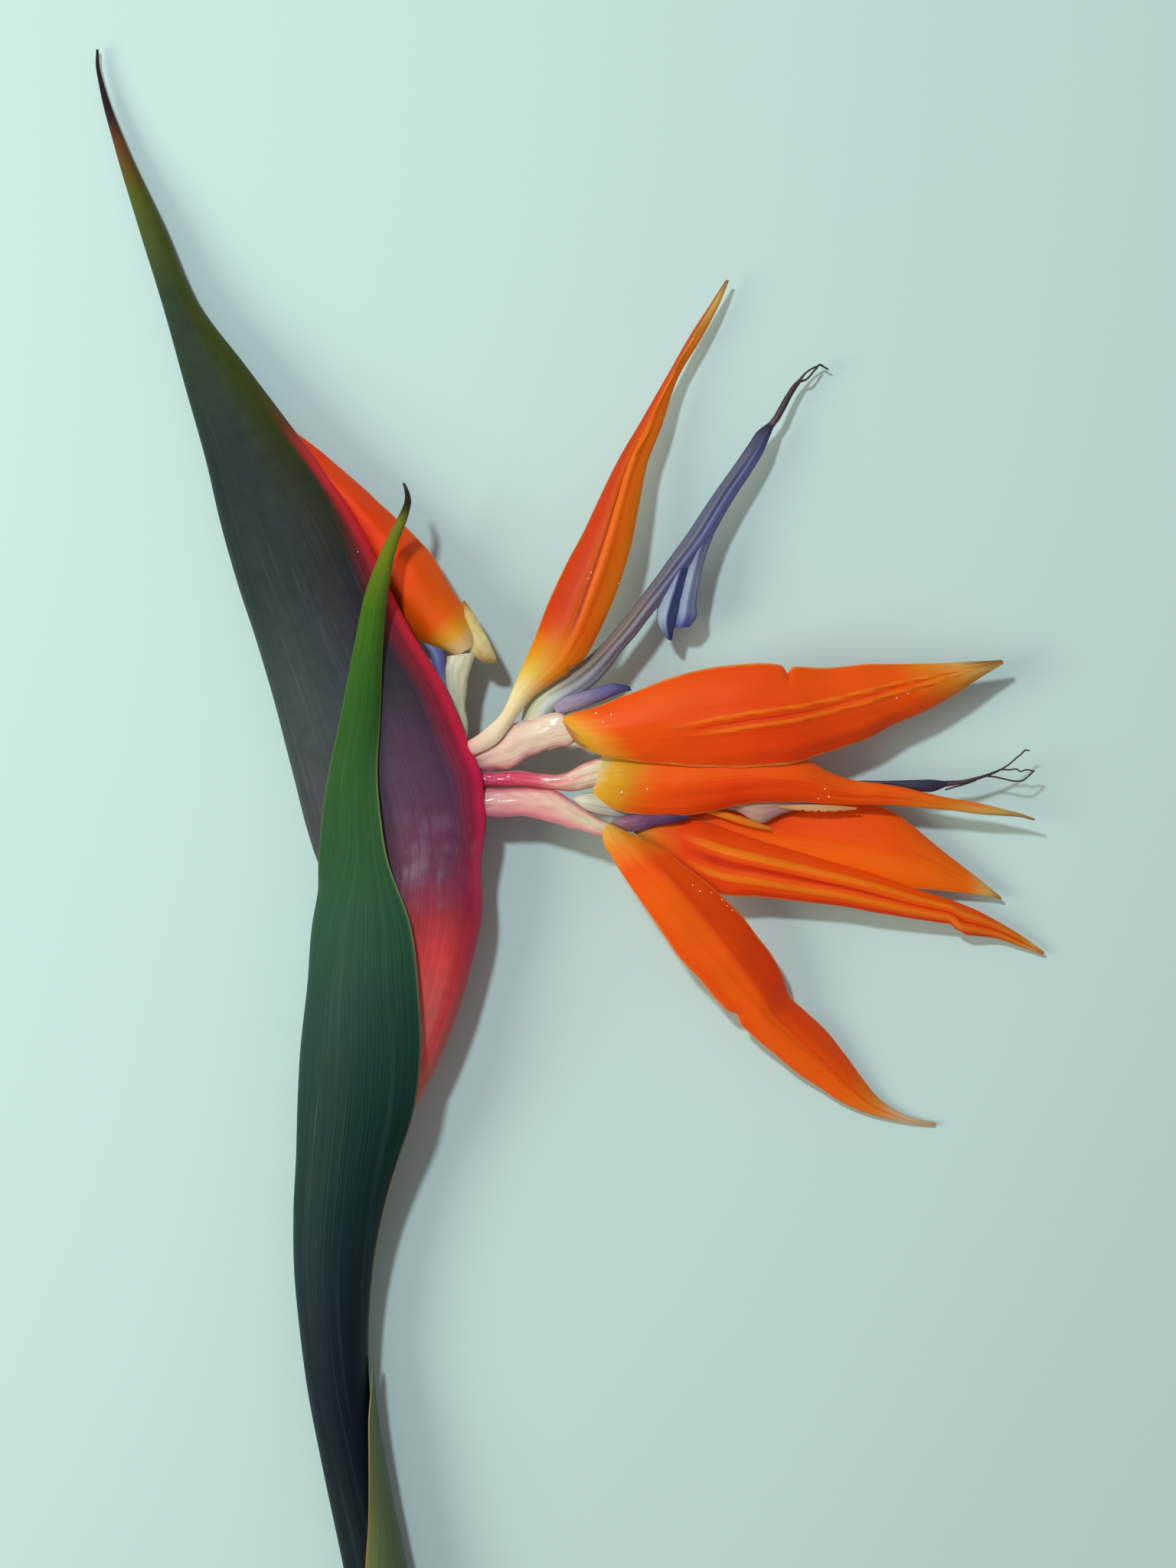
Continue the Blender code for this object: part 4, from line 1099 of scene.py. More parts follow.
# %% Tucked sepal
TUCKED = [
    (1.1, 43.5, 2.3, 44.3, 1.5, 0.4, 0), (4.4, 34.6, 8.8, 39.1, 1.2, 2, 0),
    (10.6, 25.4, 16, 32.8, 0.9, 3.2, 0), (16.2, 17.2, 22.8, 26.6, 0.7, 3.8, 0),
    (21.3, 9.8, 28.5, 20.7, 0.7, 4.2, 0), (25.5, 4.6, 33.2, 13.2, 0.9, 4.2, 0),
    (29.2, 1.9, 36.4, 8.4, 1.3, 3.8, 0), (32.2, 1.1, 37.9, 4.8, 1.9, 2.8, 0),
    (34, 0.7, 37.7, 2.7, 2.5, 1.6, 0),
]
tucked = sepal_skin(
    "tucked_orange",
    [
        (0, OCHRE), (0.05, RED), (0.45, (0.88, 0.036, 0.002)), (0.72, ORANGE),
        (0.86, (0.9, 0.12, 0.003)), (0.93, (0.8, 0.36, 0.02)), (1, PALE),
    ],
    1, 0.9, 0.2,
)
blade(
    "tucked_sepal", "sepal_1_tucked", SEPAL, TUCKED, 1, tucked, [(0.3, 0.2, 0.25, 0.4, 0.1, 0.8)],
    seed=1,
)

# %% [markdown]
# ## The torn lobe of flower 1
#
# The foot of the first flower ends in a ragged yellow scrap. A short, thin blade with a strong
# ripple is enough to stand for it.

# %% Torn lobe
TORN_LOBE = [
    (35.1, 11, 35.4, 11.3, 2.9, 0.1, 0), (35.4, 9, 37.1, 9, 3.1, 0.3, 0),
    (35.8, 5.7, 38.9, 5.7, 3.3, 0.4, 0), (36, 2.7, 40.6, 2.6, 3.5, 0.4, 0),
    (37.2, 0.6, 41.6, 0, 3.5, 0.3, 0), (39.2, -0.9, 41.5, -0.9, 3.3, 0.1, 0),
]
lobe = sepal_skin(
    "torn_yellow",
    [
        (0, TIP_BROWN), (0.06, (0.46, 0.24, 0.06)), (0.2, (0.74, 0.56, 0.2)),
        (0.6, (0.78, 0.66, 0.3)), (0.88, (0.52, 0.38, 0.16)), (1, TIP_BROWN),
    ],
    8, 0.5, 0,
)
blade(
    "torn_lobe_of_flower_1", "sepal_1_tucked", SEPAL, TORN_LOBE, 0.5, lobe, ripple=0.2, seed=21,
    rows=60,
)

# %% [markdown]
# ## The upright sepal of flower 2
#
# The long sepal that points away from the stem is folded along its length: the left half is in
# shade and red, the right half catches the light. A ridge beside a groove makes the fold, and
# three bands paint it: painted shade on the left half and in the crease, and painted light on the
# right half. It begins with a pink claw that dips behind the spathe's lip.

# %% Upright sepal
UPRIGHT = [
    (-4, 0.1, -2.8, -2.5, 9.2, 0.5, 0), (-2, 1.2, -0.6, -1.6, 9.8, 0.6, 0),
    (0.3, 3, 2.1, -0.1, 10.1, 0.6, 0), (3, 5.6, 4.7, 3.1, 10.4, 0.8, 0),
    (4.3, 8, 6.8, 6.1, 10.5, 0.9, 0), (5.3, 10.4, 9.2, 9, 10.3, 1.1, 0),
    (6.2, 12.6, 12.1, 11.1, 10.1, 1.3, 0), (8, 16.7, 17.4, 14.7, 9.6, 1.7, 0.2),
    (10.2, 22.4, 21.9, 21.5, 9, 2, 0.2), (12.6, 28.3, 24.7, 27.7, 8.1, 2, 0.2),
    (15.5, 34.3, 26.8, 33.7, 7.3, 2, 0), (18.6, 40.3, 28.4, 39.8, 6.4, 1.9, 0),
    (21.4, 46.2, 29.6, 46, 5.5, 1.7, 0), (25.8, 55.3, 31.4, 55, 3.9, 1.3, 0),
    (29.3, 61.3, 33.8, 61, 3, 1, 0), (35.3, 71.8, 37.4, 71.5, 1.6, 0.8, 0),
    (40.3, 80.6, 42.4, 80, 0.9, 0.5, 0), (44, 86.3, 45.4, 85.8, 0.4, 0.3, 0),
    (46.7, 90.5, 47.3, 90.4, 0.1, 0.1, 0),
]
upright = sepal_skin(
    "upright_orange",
    [
        (0, (0.82, 0.5, 0.42)), (0.06, (0.94, 0.74, 0.52)), (0.14, (0.92, 0.74, 0.36)),
        (0.19, (0.8, 0.5, 0.06)), (0.23, (0.78, 0.28, 0.006)), (0.29, (0.78, 0.11, 0.002)),
        (0.8, (0.74, 0.15, 0.002)), (0.9, (0.6, 0.26, 0.03)), (0.96, OCHRE), (1, TIP_BROWN),
    ],
    2, 0.8, 0.5,
    bands=[
        (0.3, -0.1, 0.42, (0.6, 0.03, 0.002), 0.85, 0.24),
        (0.72, 0.2, 0.06, (0.3, 0.014, 0.002), 0.8, 0.24),
        (1, 1, 0.3, (0.92, 0.24, 0.005), 0.6, 0.26),
    ],
)
blade(
    "upright_sepal", "sepal_2_upright", SEPAL, UPRIGHT, 1.1, upright,
    ridges=[(0.55, -0.25, 0.12, 0.4, 0.22, 0.95), (0.3, -0.45, 0.12, -0.25, 0.22, 0.95)],
    nicks=[(1, 0.22, 0.014, 1.1)], seed=2,
)

# %% [markdown]
# ## The broad sepal of flower 2
#
# The largest sepal lies nearly flat, with two narrow folds that run to the tip. A narrow nick
# cuts its upper edge about half way along. It comes from one entry in the nicks.

# %% Broad sepal
BROAD = [
    (-0.8, 9.8, -0.5, 8.6, 7.8, 0.3, 0), (0, 10.3, 0.5, 6.9, 8, 0.9, 0),
    (1.7, 10.8, 2.3, 4.8, 8.2, 1.4, 0), (5.1, 11.7, 5.3, 3.2, 8.4, 2, 0),
    (12, 14.5, 12.9, 1.7, 8.5, 2.5, 0.4), (19.1, 17.2, 20.6, 0.8, 8.2, 2.8, 0.4),
    (27.3, 19.3, 28.7, 0.4, 7.6, 3, 0.5), (36.1, 20.3, 37.2, 0.5, 7.2, 3, 0.9),
    (42.8, 19.9, 44, 1.4, 6.4, 2.9, 1.2), (50.3, 19.6, 51.5, 3.6, 4.9, 2.7, 1.4),
    (57.7, 20.1, 57.7, 5.7, 3.9, 2.5, 1.3), (63.7, 20.3, 62.5, 8.3, 2.9, 2.3, 1),
    (69.7, 20.4, 69, 11.1, 2.2, 1.9, 0.7), (75, 20.6, 74.7, 14.2, 1.4, 1.4, 0.4),
    (80.2, 20.9, 80.1, 17.7, 0.7, 0.8, 0.2), (84.5, 21.2, 84.9, 20.5, 0.1, 0.1, 0),
]
broad = sepal_skin(
    "broad_orange",
    [
        (0, (0.5, 0.2, 0.05)), (0.015, YELLOW), (0.05, (0.9, 0.33, 0.03)),
        (0.085, (0.94, 0.2, 0.008)), (0.12, ORANGE), (0.45, RED), (0.78, ORANGE),
        (0.87, (0.84, 0.26, 0.012)), (0.94, OCHRE), (1, TIP_BROWN),
    ],
    3, 0.15, 0.2, skew=0.12,
    # the bands are painted highlights on the crests of the two folds and painted shade in the
    # crease between them
    bands=[
        (0.68, 0.2, 0.022, (1, 0.24, 0.01), 0.6, 0.22),
        (0.78, 0.36, 0.022, (1, 0.24, 0.01), 0.6, 0.26),
        (0.73, 0.28, 0.02, (0.5, 0.02, 0.002), 0.6, 0.26),
    ],
)
blade(
    "broad_sepal", "sepal_2_broad", SEPAL, BROAD, 1.1, broad,
    ridges=[
        (0.36, -0.6, 0.05, 0.6, 0.22, 0.98), (0.56, -0.28, 0.05, 0.5, 0.24, 0.95),
        (0.85, 0.5, 0.12, 0.3, 0.3, 0.8),
    ],
    nicks=[(-1, 0.505, 0.014, 1.9)], seed=3,
)

# %% [markdown]
# ## The back sepal of flower 2
#
# The third sepal of the second flower lies under the others, so only its far half shows. The
# whole blade is still made, because it is seen from the sides.

# %% Back sepal
BACK = [
    (6.3, 18.7, 6.5, 16.9, 6.5, 0.2, 0), (17.5, 19.3, 17.8, 14.5, 5.5, 0.5, 0),
    (25, 18.7, 25.7, 12, 4.7, 1, -0.1), (32.4, 19.2, 33.2, 9.3, 3.9, 1.2, -0.2),
    (39.9, 19.4, 41.1, 7, 3.3, 1.3, -0.3), (48.2, 19.4, 48.9, 5.2, 2.9, 1.5, -0.5),
    (54.9, 18.9, 55.6, 3.7, 2.6, 1.6, -0.6), (59.4, 17.6, 60.9, 2.5, 2.3, 1.7, -0.8),
    (63.9, 14.5, 65.7, 2.1, 2, 1.5, -0.7), (68.1, 11, 69.6, 1.8, 1.6, 1.3, -0.6),
    (74.7, 5.8, 75.6, 1, 0.9, 0.5, -0.2), (79, 2.5, 79.6, 0.4, 0.5, 0.2, 0),
    (81.4, 0.5, 81.7, -0.1, 0.3, 0.1, 0),
]
back = sepal_skin(
    "back_orange",
    [(0, (0.8, 0.2, 0.01)), (0.1, RED), (0.7, ORANGE), (0.9, LIGHT), (0.96, OCHRE), (1, TIP_BROWN)],
    4, 0.9, 0.7,
)
blade("back_sepal", "sepal_2_back", SEPAL, BACK, 1, back, [(0.1, 0, 0.06, 0.3, 0.3, 0.95)], seed=4)

# %% [markdown]
# ## The rolled sepal of flower 3
#
# This sepal rolls into a trough for the style and ends in a long thin tail. A high rise of the
# middle gives the roll, and close stations give the sudden narrowing.

# %% Rolled sepal
ROLLED = [
    (-2.3, 10.3, -2.3, 4.8, 4.5, 0.8, 0), (-1.1, 12.2, -0.8, 3.4, 4.9, 1.6, 0),
    (1.2, 13.3, 1.8, 2.2, 5.3, 2.2, 0), (6.4, 13.7, 7.9, 1.3, 5.1, 2.7, 0.2),
    (13.1, 13.9, 14.6, 1.1, 4.7, 3, 0), (19.8, 13.9, 20.5, 2, 4.3, 3, 0),
    (26.4, 13.6, 26.7, 3.4, 4, 2.9, 0), (32.4, 13, 33, 3.7, 3.6, 2.8, 0),
    (38.3, 12, 38.3, 3.7, 3.2, 2.4, 0), (42.8, 9.6, 42.8, 3.4, 2.8, 1.8, 0),
    (47.3, 8, 47.3, 3.2, 2.5, 1.2, 0), (53.2, 7.2, 53.2, 3.2, 2.3, 1, 0),
    (57.7, 6.5, 57.7, 3, 2, 0.9, 0), (62.2, 5.4, 62.2, 2.5, 1.7, 0.8, 0),
    (66.7, 4.4, 66.7, 2.1, 1.4, 0.7, 0), (72.7, 3.4, 72.7, 1.3, 0.9, 0.6, 0),
    (77.2, 2.3, 77.2, 1, 0.5, 0.4, 0), (80.9, 1.3, 80.9, 0.7, 0.3, 0.2, 0),
    (83.3, 0.4, 83.3, 0.1, 0.1, 0.1, 0),
]
rolled = sepal_skin(
    "rolled_orange",
    [
        (0, (0.66, 0.5, 0.2)), (0.03, YELLOW), (0.07, (0.74, 0.3, 0.012)),
        (0.11, (0.9, 0.16, 0.005)), (0.15, ORANGE), (0.32, RED), (0.68, ORANGE),
        (0.8, (0.86, 0.24, 0.01)), (0.9, OCHRE), (1, TIP_BROWN),
    ],
    5, 0.2, 0.4, skew=-0.08,
)
blade(
    "rolled_sepal", "sepal_3_rolled", SEPAL, ROLLED, 1, rolled,
    [(-0.1, 0.1, 0.1, 0.3, 0.35, 0.9), (0.5, 0.3, 0.12, -0.25, 0.1, 0.7)], seed=5,
)

# %% [markdown]
# ## The middle sepal of flower 3
#
# Two broad folds run down this sepal, with painted highlights on their crests and painted shade,
# dark red, in the groove between them. Each crest is a ridge, and a band of paint follows it with
# the same places across.

# %% Middle sepal
MIDDLE_SEPAL = [
    (4.5, 26.1, 4.2, 24.1, 9.1, 0.3, -0.2), (7.5, 26.8, 8.4, 21.2, 8.9, 0.6, -0.5),
    (11.9, 27.4, 12.5, 17.3, 8.3, 1.2, -1), (17.2, 26.8, 17.2, 13.7, 7.8, 1.6, -1.2),
    (20.9, 25.6, 21.5, 12.2, 7.2, 1.8, -1.4), (28.3, 22.9, 28.6, 11.6, 6.6, 2, -1.4),
    (36.3, 20.4, 36.3, 10.8, 5.8, 2.1, -1.4), (44, 18.1, 44, 9.9, 5.4, 2, -1.4),
    (51.5, 15.9, 51.5, 8.6, 4.8, 1.8, -1.3), (58.4, 13.3, 58.4, 7.4, 4.1, 1.4, -1.2),
    (63.5, 11.7, 63.5, 6.6, 3.5, 1.2, -1.2), (66.3, 10.8, 66.3, 6.1, 3.1, 1.2, -1.2),
    (68.4, 10, 67.6, 4.5, 2.7, 1.2, -1.2), (71.3, 8.8, 70.7, 4, 2.1, 1, -0.9),
    (75.2, 6.8, 74.9, 3.5, 1.3, 0.7, -0.5), (79.8, 4.1, 79.5, 1.9, 0.7, 0.4, -0.2),
    (84.6, 0.7, 84.3, 0.1, 0.1, 0.1, 0),
]
middle_paint = sepal_skin(
    "middle_orange",
    [
        (0, (0.62, 0.3, 0.03)), (0.05, (0.86, 0.16, 0.006)), (0.12, RED), (0.6, ORANGE),
        (0.84, ORANGE), (0.93, (0.76, 0.22, 0.012)), (0.97, OCHRE), (1, TIP_BROWN),
    ],
    6, 0.5, 0.2,
    bands=[
        (0.36, 0.3, 0.08, (1, 0.23, 0.008), 0.85, 0.1),
        (0.72, 0.76, 0.07, (1, 0.23, 0.008), 0.8, 0.1),
        (0.54, 0.54, 0.1, (0.66, 0.022, 0.002), 0.85, 0.1),
        (0.93, 0.93, 0.08, (0.7, 0.03, 0.002), 0.7, 0.2),
    ],
)
blade(
    "middle_sepal", "sepal_3_middle", SEPAL, MIDDLE_SEPAL, 1, middle_paint,
    [
        (-0.25, -0.3, 0.14, 0.5, 0.12, 0.95), (0.38, 0.45, 0.13, 0.45, 0.15, 0.9),
        (0.05, 0.05, 0.06, -0.3, 0.15, 0.9),
    ],
    nicks=[(1, 0.79, 0.02, 1)], seed=6,
)

# %% [markdown]
# ## The lower sepal of flower 3
#
# The lowest sepal hangs towards the stem and turns its lower edge down, so its tilt is strong.
# It has a small nick where it was bent.

# %% Lower sepal
LOWER = [
    (1, 59.2, -0.9, 58.8, 12.1, 0.4, 0), (4.3, 57.4, -0.8, 56.1, 12.3, 0.9, -0.6),
    (8.7, 55.4, 1, 52.8, 12.4, 1.3, -1.2), (13.6, 52.1, 3.7, 48.4, 12.2, 1.6, -1.7),
    (18.1, 48.7, 6.7, 43.8, 11.7, 1.8, -1.8), (22.2, 45.1, 10.1, 39, 10.5, 2.1, -1.8),
    (25.7, 41.8, 13.8, 33.5, 9.1, 2.3, -1.6), (29.3, 37.2, 17.7, 29.3, 8, 2.4, -1.5),
    (32.3, 33.1, 21.2, 25.2, 6.5, 2.5, -1.4), (34.2, 29.6, 25.2, 21.1, 5.5, 2.5, -1.4),
    (35.4, 25.9, 28.7, 17.6, 4.5, 2.4, -1.4), (38.4, 22.8, 32.4, 14.5, 3.6, 2.4, -1.4),
    (42.7, 18.7, 36.5, 11.1, 2.6, 2.3, -1.3), (46.7, 13.8, 41.2, 7.9, 1.8, 1.8, -1),
    (49.8, 9.5, 45.6, 5, 1.3, 1.3, -0.7), (53.1, 5.5, 50.8, 2.6, 0.9, 0.7, -0.3),
    (56.8, 3, 55.8, 1.2, 0.7, 0.4, -0.1), (60.8, 1.4, 60.3, 0.3, 0.4, 0.2, 0),
    (64.2, 0.8, 64.1, 0, 0.3, 0.1, 0),
]
lower_paint = sepal_skin(
    "lower_orange",
    [
        (0, (0.7, 0.42, 0.05)), (0.05, (0.86, 0.26, 0.012)), (0.12, ORANGE), (0.5, RED),
        (0.78, ORANGE), (0.86, (0.8, 0.26, 0.02)), (0.93, (0.7, 0.5, 0.3)), (1, (0.5, 0.36, 0.2)),
    ],
    7, 0.7, 0.45, bands=[(0.3, 0.55, 0.05, RED, 0.7, 0.1)],
)
blade(
    "lower_sepal", "sepal_3_lower", SEPAL, LOWER, 1.1, lower_paint,
    [(-0.2, 0, 0.25, 0.5, 0.05, 0.6), (0.45, 0.1, 0.08, 0.35, 0.3, 0.9)],
    nicks=[(1, 0.5, 0.02, 1.2)], seed=7,
)

# %% [markdown]
# ## The turned lip and the torn strip
#
# Two small scraps of skin lie between the sepals of the third flower: a lip that has turned
# over, and a toothed strip torn from the rolled sepal. Thin blades make them too, and a row of
# small nicks makes the teeth.

# %% Lip and strip
TURNED_LIP = [
    (17.2, 28.7, 17.5, 28.2, 8.1, 0.1, 0), (20.9, 28.4, 21.4, 27, 8.3, 0.3, 0.2),
    (24.6, 27.4, 25.3, 25.7, 8.1, 0.4, 0.2), (28.3, 26.2, 28.9, 24.9, 7.8, 0.3, 0.1),
    (30.6, 25.2, 30.8, 24.6, 7.5, 0.1, 0),
]
turned = sepal_skin(
    "turned_orange", [(0, (0.9, 0.22, 0.01)), (0.6, (0.88, 0.22, 0.01)), (1, (0.8, 0.26, 0.03))],
    9, 0.5, 0,
)
blade("turned_lip", "sepal_3_middle", SEPAL, TURNED_LIP, 0.4, turned, ripple=0.2, seed=22, rows=50)
TORN_STRIP = [
    (33.4, 3, 33.4, 2.6, 2.7, 0.1, 0), (37.7, 3.2, 37.7, 2, 2.7, 0.2, 0),
    (41.4, 3.2, 41.4, 1.8, 2.5, 0.2, 0), (45.1, 3, 45.1, 1.9, 2.3, 0.2, 0),
    (48.6, 2.6, 48.6, 2.2, 2.1, 0.1, 0),
]
torn = sepal_skin(
    "torn_beige", [(0, (0.82, 0.34, 0.08)), (0.4, (0.78, 0.44, 0.22)), (1, (0.78, 0.3, 0.08))], 10,
    0.5, 0,
)
blade(
    "torn_strip", "sepal_3_rolled", SEPAL, TORN_STRIP, 0.3, torn, ripple=0.2, seed=23, rows=80,
    nicks=[
        (1, 0.31, 0.03, 0.4), (1, 0.43, 0.02, 0.3), (1, 0.52, 0.03, 0.5), (1, 0.64, 0.02, 0.3),
        (1, 0.78, 0.03, 0.4),
    ],
)

# %% [markdown]
# ## Skin of the petals
#
# Two petals of each flower are joined into a blue arrow, which holds the stamens. The third
# petal is a short violet flap at the foot. All are matt and finely veined, with a dark rim, and
# the two halves differ in tint, because one of them faces the lamp.


# %% Paint for the petals
WHITE, NIGHT, PLAIN = (0.66, 0.70, 0.54), (0.015, 0.012, 0.035), (1.0, 1.0, 1.0)
PETAL = "violet_petal"
BARB_ROWS, FLAP_ROWS = 60, 70


def petal_skin(name, stops, seed, left, right, rim, share=0.6):
    """Stops are the colours along it; left and right tint its two halves."""
    leaf = Leaf(name)
    fine = leaf.veins(22, 2.5, seed)
    wobble = (leaf.veins(6, 3, seed + 2) - 0.5) * 0.15
    colour = leaf.ramp(leaf.v + wobble, *stops)
    halves = leaf.mix(leaf.step(leaf.u + wobble, 0.46, 0.60), left, right)
    colour = leaf.tint(1.0, colour, halves)
    colour = leaf.tint(leaf.step(fine, 0.48, 0.70) * 0.5, colour, (0.55, 0.55, 0.75))
    grey = leaf.step(leaf.veins(9, 2, seed + 7), 0.56, 0.74)
    colour = leaf.mix(grey * 0.22, colour, (0.32, 0.34, 0.42))
    edge = abs(leaf.u * 2 - 1)
    colour = leaf.mix(leaf.step(edge, 0.80, 0.97) * share, colour, rim)
    roughness = 0.42 + leaf.cloud(2) * 0.15
    return leaf.finish(colour, roughness, fine, 0.12, Coat_Weight=0.1, Coat_Roughness=0.3)


print("the petals run from", WHITE, "to", NIGHT)

# %% [markdown]
# ## The arrow of flower 2
#
# The arrow is a long folded blade with two barbs near its end, which point back down towards
# the stalk. Two ridges beside a groove make the fold, and the barbs are short blades of their
# own, which start under the arrow.

# %% Arrow of flower 2
ARROW_2 = [
    (-0.7, 0.9, 1.6, -1.1, 6.5, 1, 0), (0, 3.6, 4.1, 0.8, 6.6, 1.4, 0),
    (1.9, 6.1, 6.2, 2.9, 6.5, 1.6, 0), (4.4, 7.8, 9.2, 5, 6.3, 1.4, 0),
    (7.7, 9.9, 12.7, 7.2, 5.9, 1.1, 0), (11.3, 12.4, 15.7, 10.2, 5.4, 0.9, 0),
    (15.4, 16.1, 18.7, 14.3, 5, 0.8, 0), (17.8, 18.9, 21.1, 17, 4.7, 0.8, 0),
    (20.5, 22.2, 23.6, 20.3, 4.4, 0.8, 0), (22.8, 25.3, 26.1, 23.4, 4.1, 0.8, 0),
    (25.8, 29.2, 29.1, 27.4, 3.8, 0.9, 0), (28.8, 33.4, 32.5, 31.5, 3.5, 1, 0),
    (31.8, 37.6, 35.6, 35.5, 3.1, 1, 0), (34.8, 42.2, 38.3, 40.3, 2.6, 1, 0),
    (37.8, 46.6, 41, 44.8, 2.1, 0.9, 0), (40.8, 50.8, 43.9, 49.1, 1.6, 0.8, 0),
    (43.5, 54.7, 46.3, 53.2, 1.1, 0.7, 0), (45.1, 57.1, 47.3, 55.6, 0.7, 0.5, 0),
    (47.2, 58.8, 48.3, 58, 0.2, 0.3, 0),
]
ribs = [
    (-0.35, -0.3, 0.16, 0.3, 0.05, 0.95), (0.35, 0.3, 0.16, 0.3, 0.05, 0.95),
    (0.05, 0.1, 0.07, -0.25, 0.45, 0.95),
]
arrow_blue = petal_skin(
    "arrow_blue",
    [
        (0, (0.7, 0.68, 0.5)), (0.09, WHITE), (0.15, (0.36, 0.34, 0.32)),
        (0.25, (0.26, 0.2, 0.19)), (0.4, (0.22, 0.17, 0.17)), (0.5, (0.14, 0.13, 0.21)),
        (0.62, (0.12, 0.13, 0.25)), (0.88, (0.11, 0.12, 0.23)), (0.96, (0.05, 0.05, 0.12)),
        (1, NIGHT),
    ],
    11, (0.92, 0.86, 0.72), (1, 1.05, 1.3), (0.035, 0.02, 0.09),
)
blade("arrow_of_flower_2", "arrow_petals_2", PETAL, ARROW_2, 0.8, arrow_blue, ribs, seed=8)

# %% Barbs of flower 2
BARB_RIDGE = [(0, 0, 0.3, 0.4, 0, 1)]
LEFT_BARB = [
    (30.7, 34.9, 32.5, 34, 3.8, 0.2, 0), (28.8, 31, 31.6, 30.4, 3.8, 0.5, 0),
    (27.2, 27.1, 30.6, 26.3, 3.8, 0.7, 0), (25.8, 23.6, 29.7, 22.7, 3.7, 0.8, 0),
    (25.5, 20.9, 29.1, 20, 3.6, 0.8, 0), (26.1, 18.5, 28.7, 18.2, 3.5, 0.6, 0),
    (27.6, 16.5, 28.4, 16.3, 3.4, 0.1, 0),
]
barb_left = petal_skin(
    "barb_left",
    [
        (0, (0.12, 0.13, 0.24)), (0.4, (0.16, 0.19, 0.32)), (0.75, (0.2, 0.24, 0.34)),
        (1, (0.03, 0.04, 0.16)),
    ],
    12, (1.6, 1.6, 1.4), (0.22, 0.28, 0.6), (0.02, 0.025, 0.11),
)
blade(
    "left_barb_of_flower_2", "arrow_petals_2", PETAL, LEFT_BARB, 0.6, barb_left,
    BARB_RIDGE, rows=BARB_ROWS, seed=9,
)
RIGHT_BARB = [
    (33.6, 36.7, 36.8, 37.6, 3.1, 0.2, 0), (32.1, 33.7, 35.2, 33.4, 3.2, 0.5, 0),
    (31.2, 30.4, 34.3, 30.1, 3.3, 0.7, 0), (30.1, 26.6, 33.6, 26.6, 3.3, 0.8, 0),
    (29.4, 23.3, 33.1, 23.3, 3.2, 0.8, 0), (28.8, 20.6, 33.1, 20.8, 3.1, 0.6, 0),
    (28.7, 18.8, 31.8, 19, 3, 0.2, 0),
]
barb_right = petal_skin(
    "barb_right",
    [
        (0, (0.12, 0.13, 0.24)), (0.5, (0.26, 0.31, 0.42)), (0.8, (0.22, 0.26, 0.42)),
        (1, (0.06, 0.08, 0.34)),
    ],
    13, (1.2, 1.2, 1.1), (0.9, 0.9, 1), (0.02, 0.025, 0.18), 0.8,
)
blade(
    "right_barb_of_flower_2", "arrow_petals_2", PETAL, RIGHT_BARB, 0.6, barb_right,
    BARB_RIDGE, rows=BARB_ROWS, seed=10,
)

# %% [markdown]
# ## The arrow of flower 3
#
# Most of the third flower's arrow hides under its sepals. It shows as a pale scrap in the
# middle and as a dark point at the end, so one long blade with close stations makes it.

# %% Arrow of flower 3
ARROW_3_ROWS = 220
ARROW_3 = [
    (3.1, 3.8, 3.3, 2.7, 4.1, 0.3, 0), (5, 4.5, 5, 1.5, 4.3, 0.9, 0),
    (7.7, 4.6, 7.7, 0.6, 4.1, 1.1, 0), (10.4, 3.8, 10.2, 0.2, 3.7, 0.9, 0),
    (12.4, 1.8, 12.4, 0, 3.3, 0.6, 0), (18.1, 2.9, 18.1, 0.5, 2.7, 0.4, 0),
    (25.5, 3.5, 25.5, 0.8, 2.1, 0.4, 0), (31.5, 3.5, 31.5, 1.4, 1.7, 0.5, 0),
    (34.7, 3.2, 34.7, 1.1, 1.5, 0.8, 0), (39.2, 3.8, 39.2, -1.3, 1.3, 1, 0),
    (43.7, 3.6, 43.7, 0.6, 1.1, 0.8, 0), (48.1, 3.6, 48.1, 1.8, 1.1, 0.5, 0),
    (53.1, 5.8, 53.2, 4, 1, 0.5, 0), (58.3, 7, 58.3, 6.3, 0.9, 0.4, 0),
    (62.7, 7, 62.7, 6, 0.8, 0.5, 0), (67.2, 7.1, 67.2, 5.4, 0.6, 0.7, 0),
    (70.6, 7.2, 70.6, 4.9, 0.5, 0.8, 0), (72.9, 7.2, 72.9, 4.9, 0.4, 0.7, 0),
    (74.8, 7, 74.8, 5.6, 0.3, 0.4, 0), (75.9, 6.9, 75.9, 6.1, 0.2, 0.2, 0),
]
arrow_pale = petal_skin(
    "arrow_pale",
    [
        (0, (0.72, 0.7, 0.5)), (0.08, (0.7, 0.64, 0.46)), (0.15, (0.4, 0.38, 0.44)),
        (0.24, (0.3, 0.22, 0.22)), (0.4, (0.34, 0.18, 0.14)), (0.47, (0.56, 0.32, 0.22)),
        (0.55, (0.5, 0.27, 0.22)), (0.62, (0.28, 0.2, 0.3)), (0.7, (0.09, 0.07, 0.14)), (1, NIGHT),
    ],
    14, PLAIN, (0.95, 0.9, 1), (0.1, 0.02, 0.05), 0.5,
)
blade(
    "arrow_of_flower_3", "arrow_petals_3", PETAL, ARROW_3, 0.7, arrow_pale, ribs[:1], seed=11,
    rows=ARROW_3_ROWS,
)

# %% [markdown]
# ## The small petals
#
# Each flower has one short petal beside the foot of its arrow. They are plain blades, slightly
# tilted, and end in a dark tip.

